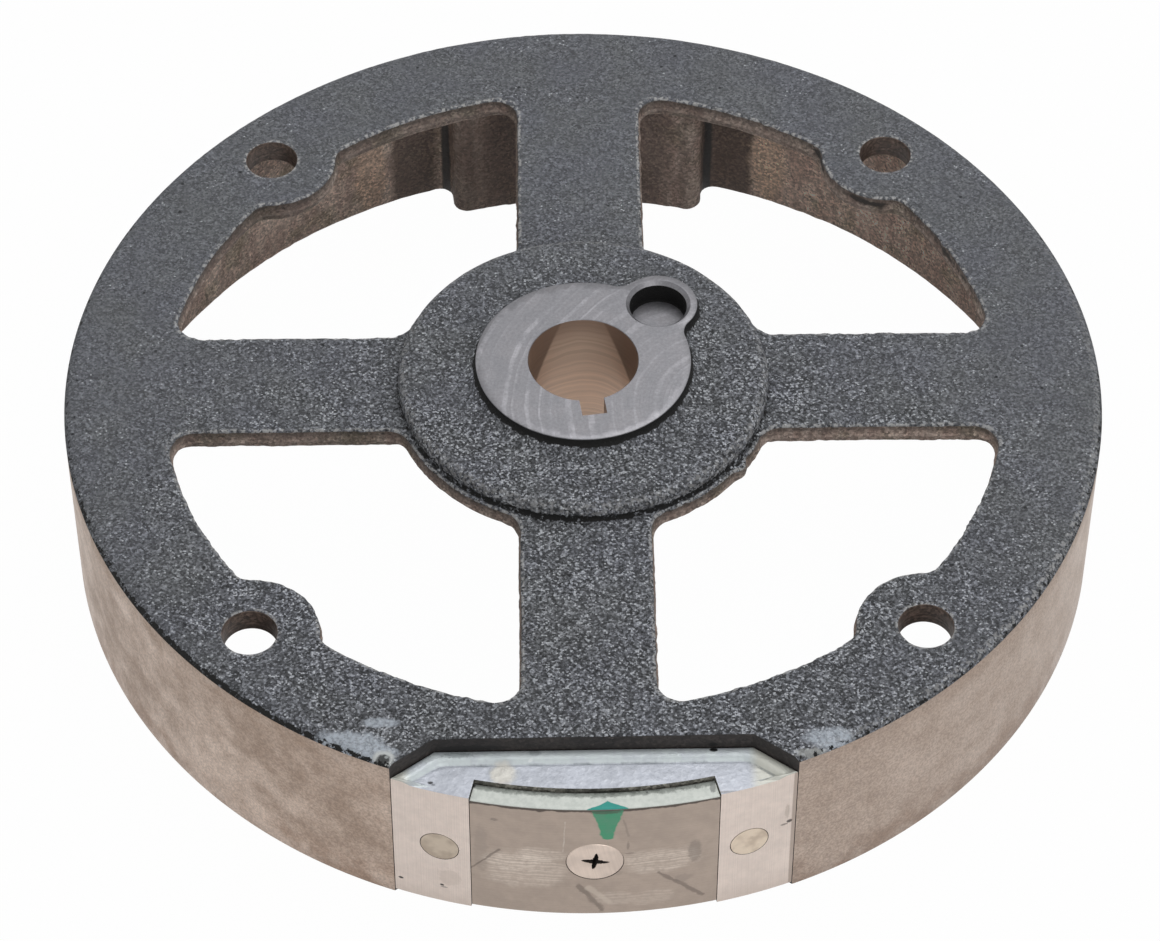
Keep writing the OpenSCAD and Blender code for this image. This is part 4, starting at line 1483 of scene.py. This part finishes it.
@finish
def bored_wall(g, look):
    x, _, z = g.xyz
    marks = cutter_marks(g, Distance=z, Pitch=1.1, Wander=2.2)
    base = g.tint(marks["Lines"], look.bore, 0.88, 1.06)
    # Painted reflections: dark triangles at the bore's two sides.
    depth = (46.2 - z) * 0.42
    side = g.calc("ABSOLUTE", x) - depth
    base = g.mix(g.between(side, 3.9, 4.7, 0, 0.8), base, "6a5142")
    # Painted shade: darker towards the bore's upper end.
    base *= g.between(z, 24, 40, 1.08, 0.66)
    base = g.mix(g.between(z, 38, 46, 0, 0.75), base, "806a5b")
    g.surface(base, 0.42, marks["Lines"], 0.008, metal=0.25)


@finish
def drilled_wall(g, look):
    z = g.xyz[2]
    marks = cutter_marks(g, Distance=z, Pitch=0.5, Wander=0.4)
    grit = cast_grit(g, Grain=0.6, Clump=4, Contrast=2, Flakes=0)
    base = g.mix(marks["Lines"], "463a34", "5d4f47")
    base *= grit["Shade"]
    g.surface(base, 0.6, marks["Lines"], 0.03, metal=0.1)


@finish
def pocket_wall(g, look):
    grit = cast_grit(g, Grain=0.6, Clump=8, Contrast=1.8, Flakes=0)
    base = g.mix(grit["Cloud"], "1d1a1a", "322d2b")
    base *= grit["Shade"]
    base = g.mix(grit["Specks"] * 0.4, base, "6a635d")
    # The second patch is a painted shadow along the wall's foot at the left.
    base = blots(g, base, (
        ((23.2, -91.2, 36.6), (1.1, 1, 0.8), 1, "020202", 0.3),
        ((-23, -91, 36.7), (9, 1.5, 0.9), 0.9, "060505", 1),
    ))
    g.surface(base, 0.7, grit["Height"], 0.08)


@finish
def retainer_cast_top(g, look):
    x = g.xyz[0]
    grain = g.noise(1.1, 4, 0.65)
    slow = g.noise(6, 3)
    base = g.tint(g.between(slow, 0.35, 0.65), look.retainer, 0.9, 1.05)
    base = g.mix(g.between(grain, 0.52, 0.75, 0, 0.5), base, "c3c6cd")
    base = g.mix(g.between(grain, 0.45, 0.28, 0, 0.4), base, "8e939d")
    uneven = g.between(g.noise(4, 4, 0.65), 0.35, 0.6, 0.35, 0.95)
    # The raised border painted paler, part its own tone and part painted highlight.
    base = g.mix(g.attribute("edge") * uneven, base, "bfc7c8")
    # Painted highlight: pale tilted facets at the retainer's two ends.
    ends = g.between(g.calc("ABSOLUTE", x + 2), 31.5, 34)
    base = g.mix(ends * 0.8, base, "c4c3b7")
    # Painted shade in the crease inside the raised border.
    crease = g.between(g.attribute("grime") + grain * 0.5, 0.7, 1.1)
    base = g.mix(crease * (1 - uneven), base, "6d7476")
    # The fifth patch is a painted shadow along the back wall's foot at the left.
    base = blots(g, base, (
        ((-16.5, -96.4, 36), (3.9, 3.7, 3), 0.45, "8f9499", 0.4),
        ((-16.5, -96.4, 36), (3.3, 3.1, 3), 0.9, "c5c2ba", 0.6),
        ((23.3, -91.9, 36), (1, 0.55, 2), 1, "050505", 0.4),
        ((-16.3, -98.6, 36), (1.6, 0.9, 3), 0.4, "b9b0a8", 0.8),
        ((-25, -92.6, 35.4), (3.8, 0.8, 2), 0.6, "7c8486", 1.4),
        ((-10.6, -92.2, 35.4), (1.6, 0.9, 2), 0.6, "868d8f", 1.2),
        ((-30.2, -98.4, 36), (0.75, 0.5, 2), 1, "2c2e33", 0.8),
        ((-29.6, -98.9, 36), (0.6, 0.4, 2), 0.7, "4c4e55", 0.8),
        ((25.8, -101.3, 35.6), (3.2, 0.4, 2), 0.5, "6f6a68", 0.8),
    ))
    base = scratches(g, base, (
        ((-12.8, -95.4, 36), (-9.2, -91.5, 35), 0.4, 0.7, "d4d8d8"),
        ((23.6, -98.6, 36), (23.6, -94.4, 36), 0.12, 0.5, "8b8d92"),
        ((-24, -98.9, 36), (-24.2, -101.6, 36), 0.2, 0.7, "55585f"),
        ((-36, -96.4, 36), (-30.6, -92.6, 36), 0.5, 0.6, "71797c"),
        ((-34.4, -96.6, 35.4), (-30.4, -93.9, 35.4), 0.7, 0.45, "868e94"),
    ))
    height = grain + slow * 2
    rough = g.between(grain, 0.3, 0.7, 0.5, 0.38)
    g.surface(base, rough, height, 0.12, metal=0.25)


@finish
def retainer_machined_side(g, look):
    x, y, z = g.xyz
    along = g.calc("ARCTAN2", y, x) * ROUND
    lines = cutter_marks(g, Distance=along, Pitch=0.22, Wander=0.35)
    worn = worn_stipple(g, Size=9, Lean=0.3, Grain=0.9)
    base = g.tint(worn["Stains"], look.retainer_side, 0.9, 1.06)
    base = g.mix(lines["Lines"] * 0.16, base, "998d84")
    base = g.mix(worn["Stipple"] * 0.22, base, "e4dad0")
    base = g.mix(g.between(z, 7, 0, 0, 0.3), base, "b0a094")
    base = blots(g, base, (
        ((-36.56, -98.17, 5.2), (0.6, 1, 0.4), 1, "241f1d", 0.6),
        ((-28.6, -100.8, 6.2), (0.5, 1, 0.35), 1, "241f1d", 0.6),
        ((-28.2, -100.9, 5.6), (0.9, 1, 0.25), 0.6, "6b625c", 1),
        ((37.9, -97.6, 21.2), (0.7, 1, 0.6), 0.9, "3a322e", 0.9),
        ((36.9, -98, 20.6), (0.9, 1, 0.35), 0.7, "6b5f57", 1),
        ((37.4, -97.8, 24.5), (0.6, 1, 2.5), 0.4, "a39489", 1.2),
        ((-27, -101, 9), (3, 2, 3), 0.3, "b2a397", 1.5),
        ((38.8, -97.4, 18), (0.6, 3, 40), 0.6, "8a7668", 0.3),
    ))
    g.surface(base, 0.42, lines["Lines"] + worn["Height"], 0.02, metal=0.45)


@finish
def group_seam(g, look):
    grit = cast_grit(g, Grain=0.6, Clump=4, Contrast=2.5, Flakes=0.3)
    base = g.mix(grit["Cloud"], "2b2b28", "484742")
    base *= grit["Shade"]
    z = g.xyz[2]
    # Painted light: the seam walls up to four times lighter towards the groove's mouth at the top.
    base *= g.between(z, 31, 33.5, 1, 4)
    g.surface(base, 0.7, grit["Height"], 0.05)


@finish
def shoe_turned_face(g, look):
    z = g.xyz[2]
    lines = cutter_marks(g, Distance=z, Pitch=0.3, Wander=0.5)
    worn = worn_stipple(g, Size=13, Lean=0.8, Grain=0.8)
    base = g.tint(worn["Stains"], look.shoe, 0.88, 1.06)
    base = g.mix(lines["Lines"] * 0.1, base, "7f746a")
    rubs = cutter_marks(g, Distance=z, Pitch=0.5, Wander=2.5)["Lines"]
    rubs = g.between(rubs, 0.2, 0.9, 0.35, 1) * g.between(g.noise(0.9, 3), 0.3, 0.6, 0.4, 1)
    for centre, reach, share in (
        ((-13, -104, 15.5), (10.5, 6, 6.5), 0.55), ((-15, -104, 17), (7, 6, 3), 0.5),
        ((13, -104, 17.6), (9, 6, 4.6), 0.6), ((-9.5, -104, 20), (6.5, 6, 2.6), 0.5),
        ((4.5, -104, 6.5), (5, 6, 2.6), 0.35), ((12, -104, 6), (5, 6, 3), 0.3),
    ):
        mask = blot(g, Centre=centre, Reach=reach, Ragged=1, Grain=5)["Mask"]
        base = g.mix(mask * share * rubs, base, "e8dacd")
    base = blots(g, base, (
        ((19.8, -103, 19), (1.6, 2, 4.2), 0.5, "7d736b", 0.9),
        ((17.6, -103.5, 11), (2.2, 2, 1.5), 0.3, "857a72", 0.9),
        ((0.9, -105, 14.5), (6.5, 2, 1.2), 0.25, "7f756d", 1.2),
        ((-18.3, -103, 29.8), (0.9, 2, 0.5), 0.5, "6f665f", 1),
        ((7, -105, 23), (0.35, 2, 1.6), 0.5, "766c64", 1),
        ((7.4, -105, 20.6), (1.3, 2, 0.25), 0.5, "6d635c", 1),
        ((-21, -103, 20), (1.8, 2, 9), 0.25, "8a8077", 1.2),
    ))
    base = scratches(g, base, (
        ((-23.2, -102, 12.8), (-17.5, -103.4, 20.5), 0.3, 0.6, "63574f"),
        ((-2.2, -104.8, 10.6), (2.2, -104.7, 3), 0.9, 0.6, "6d6158"),
        ((-0.5, -104.8, 10.2), (3.6, -104.7, 5.2), 0.8, 0.6, "cdbfb1"),
        ((13, -104, 13.6), (21.6, -102.6, 4.6), 0.6, 0.55, "63574f"),
        ((-4.9, -104.7, 30.8), (-5.3, -104.7, 21.5), 0.16, 0.7, "cfc5ba"),
        ((6.2, -104.6, 31), (7.1, -104.6, 26), 0.3, 0.4, "80766e"),
    ))
    edge = g.between(z + g.noise(2.5, 3) * 1.4, 34.3, 34.6)
    base = g.mix(edge * 0.85, base, "3b332f")
    base = timing_paint(g, base, look)
    g.surface(base, 0.4, lines["Lines"] * 0.5 + worn["Height"], 0.02, metal=0.45)


def timing_paint(g, base, look):
    """The timing mark: a tapering stroke down the pole shoe's face and a darker dab on its top edge."""
    x, _, z = g.xyz
    wobble = (g.noise(2.2, 3) - 0.5) * 1.3
    off = g.calc("ABSOLUTE", x + wobble - 3.1)
    tip = z - 25.2
    wedge = tip * 0.235 + 1
    round_end = g.calc("SQRT", g.calc("MAXIMUM", tip, 0) * 3)
    half = g.calc("MINIMUM", wedge, round_end)
    below = g.between(z + wobble * 0.3, 34.3, 33.9)
    stroke = g.between(half - off, -0.1, 0.35) * below
    paint = np.array(look.paint)
    thick = g.between(g.noise(3, 3), 0.35, 0.6)
    tone = g.mix(thick, paint * 0.85 + 0.03, paint)
    base = g.mix(stroke * 0.92, base, tone)
    base = blots(g, base, (((2.6, -104.7, 33.7), (3.8, 2, 0.7), 0.6, "4c443f", 0.7),))
    reach = g.between(RIM_RADIUS - radius_at(g), 2.4, -0.8) * 4.9
    dab = g.between(reach - off, 0, 0.4)
    above = g.between(z, 34.44, 34.5)
    dark = paint * (0, 0.8, 1.3)
    return g.mix(dab * above, base, dark)


@finish
def shoe_top_edge(g, look):
    grain = g.noise(1.1, 4, 0.6)
    base = g.mix(g.between(grain, 0.35, 0.65), "bcc1bb", "c9cdc7")
    radius = radius_at(g)
    inner = radius + (grain - 0.5) * 1.6
    # Painted shade: darker towards the inner edge, nearly black beside the groove.
    base = g.mix(g.between(inner, 102.25, 101.5, 0, 0.85), base, "6b706a")
    base = g.mix(g.between(inner, 101.25, 100.95, 0, 0.6), base, "2f322f")
    dots = g.between(g.noise(0.9, 2), 0.58, 0.68)
    right = g.between(g.xyz[0], 4, 14)
    near = g.between(radius, 102, 101.4)
    base = g.mix(dots * right * near, base, "2d2f2d")
    base = blots(g, base, (
        ((-22.1, -98.8, 34.6), (0.55, 0.5, 1), 1, "0c0c0c", 0.3),
        ((22.9, -99.6, 34.6), (0.7, 1.8, 1), 0.7, "5b5e5c", 0.8),
    ))
    base = timing_paint(g, base, look)
    g.surface(base, 0.5, grain, 0.05, metal=0.1)


@finish
def magnet_alloy(g, look):
    grit = cast_grit(g, Grain=0.7, Clump=5, Contrast=2.5, Flakes=0.6)
    base = g.mix(grit["Cloud"], "3a3a3d", "56565a")
    base *= grit["Shade"]
    base = g.mix(grit["Specks"] * 0.5, base, "85858a")
    g.surface(base, 0.55, grit["Height"], 0.05, metal=0.5)


@finish
def screw_face(g, look):
    x, _, z = g.xyz
    grain = g.noise(1.2, 4, 0.6)
    slow = g.noise(4, 2)
    base = g.tint(g.between(slow, 0.35, 0.65), look.screw, 0.9, 1.06)
    lines = cutter_marks(g, Distance=x + z * 0.2, Pitch=0.5)
    base = g.mix(lines["Lines"] * 0.12, base, "a99b8f")
    height = grain + lines["Lines"]
    g.surface(base, 0.38, height, 0.02, metal=0.35)


@finish
def screw_recess(g, look):
    grain = g.noise(0.6, 3)
    base = g.mix(grain, "0b0807", "2b201a")
    g.surface(base, 0.8, grain, 0.05)


@finish
def pin_face(g, look):
    x = g.xyz[0]
    grain = g.noise(0.9, 4, 0.65)
    slow = g.noise(3, 2)
    base = g.mix(g.between(slow, 0.35, 0.65), "b9a896", "d3c3b0")
    base = g.mix(g.between(grain, 0.55, 0.75, 0, 0.5), base, "ddd1bf")
    # Painted light: the right pin up to 1.25 times lighter than the left.
    base *= g.between(x, -20, 20, 0.98, 1.25)
    g.surface(base, 0.45, grain, 0.03, metal=0.35)


# ---------------------------------------------------------------- operators

def settle(piece, look, slot, node, *finishes):
    """The piece takes its finishes, rides on the wheel and stands for that CAD node. slot is not used."""
    for make in finishes:
        piece.data.materials.append(make(look))
    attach(piece, "root")
    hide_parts(node)


class FLYWHEEL_OT_casting(Operator):
    """Make the wheel casting, with its rim, spokes, hub, balance weight and pocket"""

    bl_idname = "flywheel.casting"
    bl_label = "Wheel Casting"

    def execute(self, context):
        scene = context.scene
        piece = build_casting(scene.flywheel_wheel, scene.flywheel_hub, scene.flywheel_magnets)
        finishes = (cast_skin, cast_wall, turned_rim, faced_pad, bored_wall, drilled_wall, pocket_wall)
        settle(piece, scene.flywheel_finishes, "cast_iron", "wheel_casting", *finishes)
        return {"FINISHED"}


class FLYWHEEL_OT_retainer(Operator):
    """Make the aluminium retainer that fills the pocket round the magnet"""

    bl_idname = "flywheel.retainer"
    bl_label = "Magnet Retainer"

    def execute(self, context):
        scene = context.scene
        piece = build_retainer(scene.flywheel_wheel, scene.flywheel_magnets)
        finishes = (retainer_cast_top, retainer_machined_side, group_seam)
        settle(piece, scene.flywheel_finishes, "retainer_aluminium", "magnet_retainer", *finishes)
        return {"FINISHED"}


class FLYWHEEL_OT_pole_shoe(Operator):
    """Make the pole shoe with its timing mark"""

    bl_idname = "flywheel.pole_shoe"
    bl_label = "Pole Shoe"

    def execute(self, context):
        scene = context.scene
        piece = build_shoe(scene.flywheel_wheel, scene.flywheel_magnets)
        finishes = (shoe_turned_face, shoe_top_edge, group_seam)
        settle(piece, scene.flywheel_finishes, "shoe_steel", "pole_shoe", *finishes)
        return {"FINISHED"}


class FLYWHEEL_OT_screw(Operator):
    """Make the cross-recessed screw of the pole shoe"""

    bl_idname = "flywheel.screw"
    bl_label = "Pole Screw"

    def execute(self, context):
        scene = context.scene
        piece = build_screw(scene.flywheel_wheel, scene.flywheel_magnets)
        settle(piece, scene.flywheel_finishes, "screw_steel", "pole_screw", screw_face, screw_recess)
        return {"FINISHED"}


class FLYWHEEL_OT_inner_pieces(Operator):
    """Finish the magnet and the two retaining pins"""

    bl_idname = "flywheel.inner_pieces"
    bl_label = "Magnet and Pins"

    def execute(self, context):
        look = context.scene.flywheel_finishes
        pin, magnet = pin_face(look), magnet_alloy(look)
        for name, material in ("magnet", magnet), ("retaining_pin_left", pin), ("retaining_pin_right", pin):
            materials = bpy.data.objects[name].data.materials
            materials.clear()
            materials.append(material)
        return {"FINISHED"}


class FLYWHEEL_OT_stage(Operator):
    """Make the floor, the world, the lamps and the camera"""

    bl_idname = "flywheel.stage"
    bl_label = "Stage"

    def execute(self, context):
        make_floor()
        make_world(context.scene)
        make_lamps()
        make_camera(context.scene)
        context.scene.view_settings.view_transform = "Standard"
        return {"FINISHED"}


# ---------------------------------------------------------------- stage

FLOOR_HALF = 2.5
FLOOR_DROP = 0.1 * MM
FLOOR_WHITE = 0.985
WORLD_LIGHT = 0.35
# The camera's place, its right and up directions, and its lens and sensor in millimetres
CAMERA_PLACE = (-0.0102039, -0.6000829, 0.6837369)
CAMERA_RIGHT = Vector((0.99989676, -0.01428791, 0.00152793))
CAMERA_UP = Vector((0.00963119, 0.74530126, 0.66665829))
CAMERA_LENS, CAMERA_SENSOR = 135, 36
# Name, place, size and power of each soft lamp, which looks at the wheel
LAMPS = (
    ("key_lamp", (0.25, 0.5, 1.4), 1.0, 10),
    ("fill_lamp", (0.6, -1.15, 0.8), 1.0, 7),
)


def seen_straight(g):
    """1 where the ray is a camera, glossy or transmission ray."""
    path = g.add("ShaderNodeLightPath")
    seen = g.calc("MAXIMUM", path["Is Camera Ray"], path["Is Glossy Ray"])
    return g.calc("MAXIMUM", seen, path["Is Transmission Ray"])


def make_floor():
    """A wide pale floor just under the rim. It shows nearly white and keeps a soft shadow."""
    mesh = bpy.data.meshes.new("floor")
    far, z = FLOOR_HALF, -FLOOR_DROP
    mesh.from_pydata([(-far, -far, z), (far, -far, z), (far, far, z), (-far, far, z)], [], [(0, 1, 2, 3)])
    floor = add_object("floor", mesh)
    material = bpy.data.materials.new("floor_white")
    g = new_graph(material)
    paper = g.add("ShaderNodeBsdfDiffuse", {"Color": (0.5, 0.5, 0.5)})["BSDF"]
    white = g.add("ShaderNodeEmission", {"Color": (1, 1, 1), "Strength": 1})["Emission"]
    shown = g.add("ShaderNodeMixShader", {0: seen_straight(g) * FLOOR_WHITE, 1: paper, 2: white})
    g.add("ShaderNodeOutputMaterial", {"Surface": shown["Shader"]})
    mesh.materials.append(material)


def make_world(scene):
    """A white world that lights at a plain level and shows as white."""
    world = bpy.data.worlds.new("studio")
    scene.world = world
    g = new_graph(world)
    strength = seen_straight(g) * (1 - WORLD_LIGHT) + WORLD_LIGHT
    shown = g.add("ShaderNodeBackground", {"Color": (1, 1, 1), "Strength": strength})
    g.add("ShaderNodeOutputWorld", {"Surface": shown["Background"]})


def make_lamps():
    for name, place, size, power in LAMPS:
        data = bpy.data.lights.new(name, "AREA")
        data.shape = "DISK"
        data.size = size
        data.energy = power
        lamp = add_object(name, data)
        lamp.location = place
        lamp.rotation_mode = "QUATERNION"
        lamp.rotation_quaternion = (-Vector(place)).to_track_quat("-Z", "Y")


def make_camera(scene):
    """A long lens that looks down on the magnet group's side."""
    data = bpy.data.cameras.new("camera")
    data.lens = CAMERA_LENS
    data.sensor_width = CAMERA_SENSOR
    camera = add_object("camera", data)
    turned = Matrix((CAMERA_RIGHT, CAMERA_UP, CAMERA_RIGHT.cross(CAMERA_UP))).transposed().to_4x4()
    camera.matrix_world = Matrix.Translation(CAMERA_PLACE) @ turned
    scene.camera = camera


# ---------------------------------------------------------------- panel and registration

class FLYWHEEL_PT_parts(Panel):
    """Lists the flywheel's pieces"""

    bl_idname = "FLYWHEEL_PT_parts"
    bl_label = "Magneto Flywheel"
    bl_space_type = "VIEW_3D"
    bl_region_type = "UI"
    bl_category = "Flywheel"

    def draw(self, context):
        for operator in OPERATORS:
            self.layout.operator(operator.bl_idname)


SETTINGS = {
    "flywheel_wheel": FlywheelWheelSizes,
    "flywheel_hub": FlywheelHubSizes,
    "flywheel_magnets": FlywheelMagnetSizes,
    "flywheel_finishes": FlywheelFinishes,
}
OPERATORS = (
    FLYWHEEL_OT_casting,
    FLYWHEEL_OT_retainer,
    FLYWHEEL_OT_pole_shoe,
    FLYWHEEL_OT_screw,
    FLYWHEEL_OT_inner_pieces,
    FLYWHEEL_OT_stage,
)
CLASSES = (*SETTINGS.values(), *OPERATORS, FLYWHEEL_PT_parts)


def register():
    for cls in CLASSES:
        bpy.utils.register_class(cls)
    for name, cls in SETTINGS.items():
        setattr(bpy.types.Scene, name, PointerProperty(type=cls))


def unregister():
    for name in SETTINGS:
        delattr(bpy.types.Scene, name)
    for cls in reversed(CLASSES):
        bpy.utils.unregister_class(cls)


def main():
    register()
    for operator in OPERATORS:
        area, name = operator.bl_idname.split(".")
        getattr(getattr(bpy.ops, area), name)()


if __name__ == "__main__":
    main()
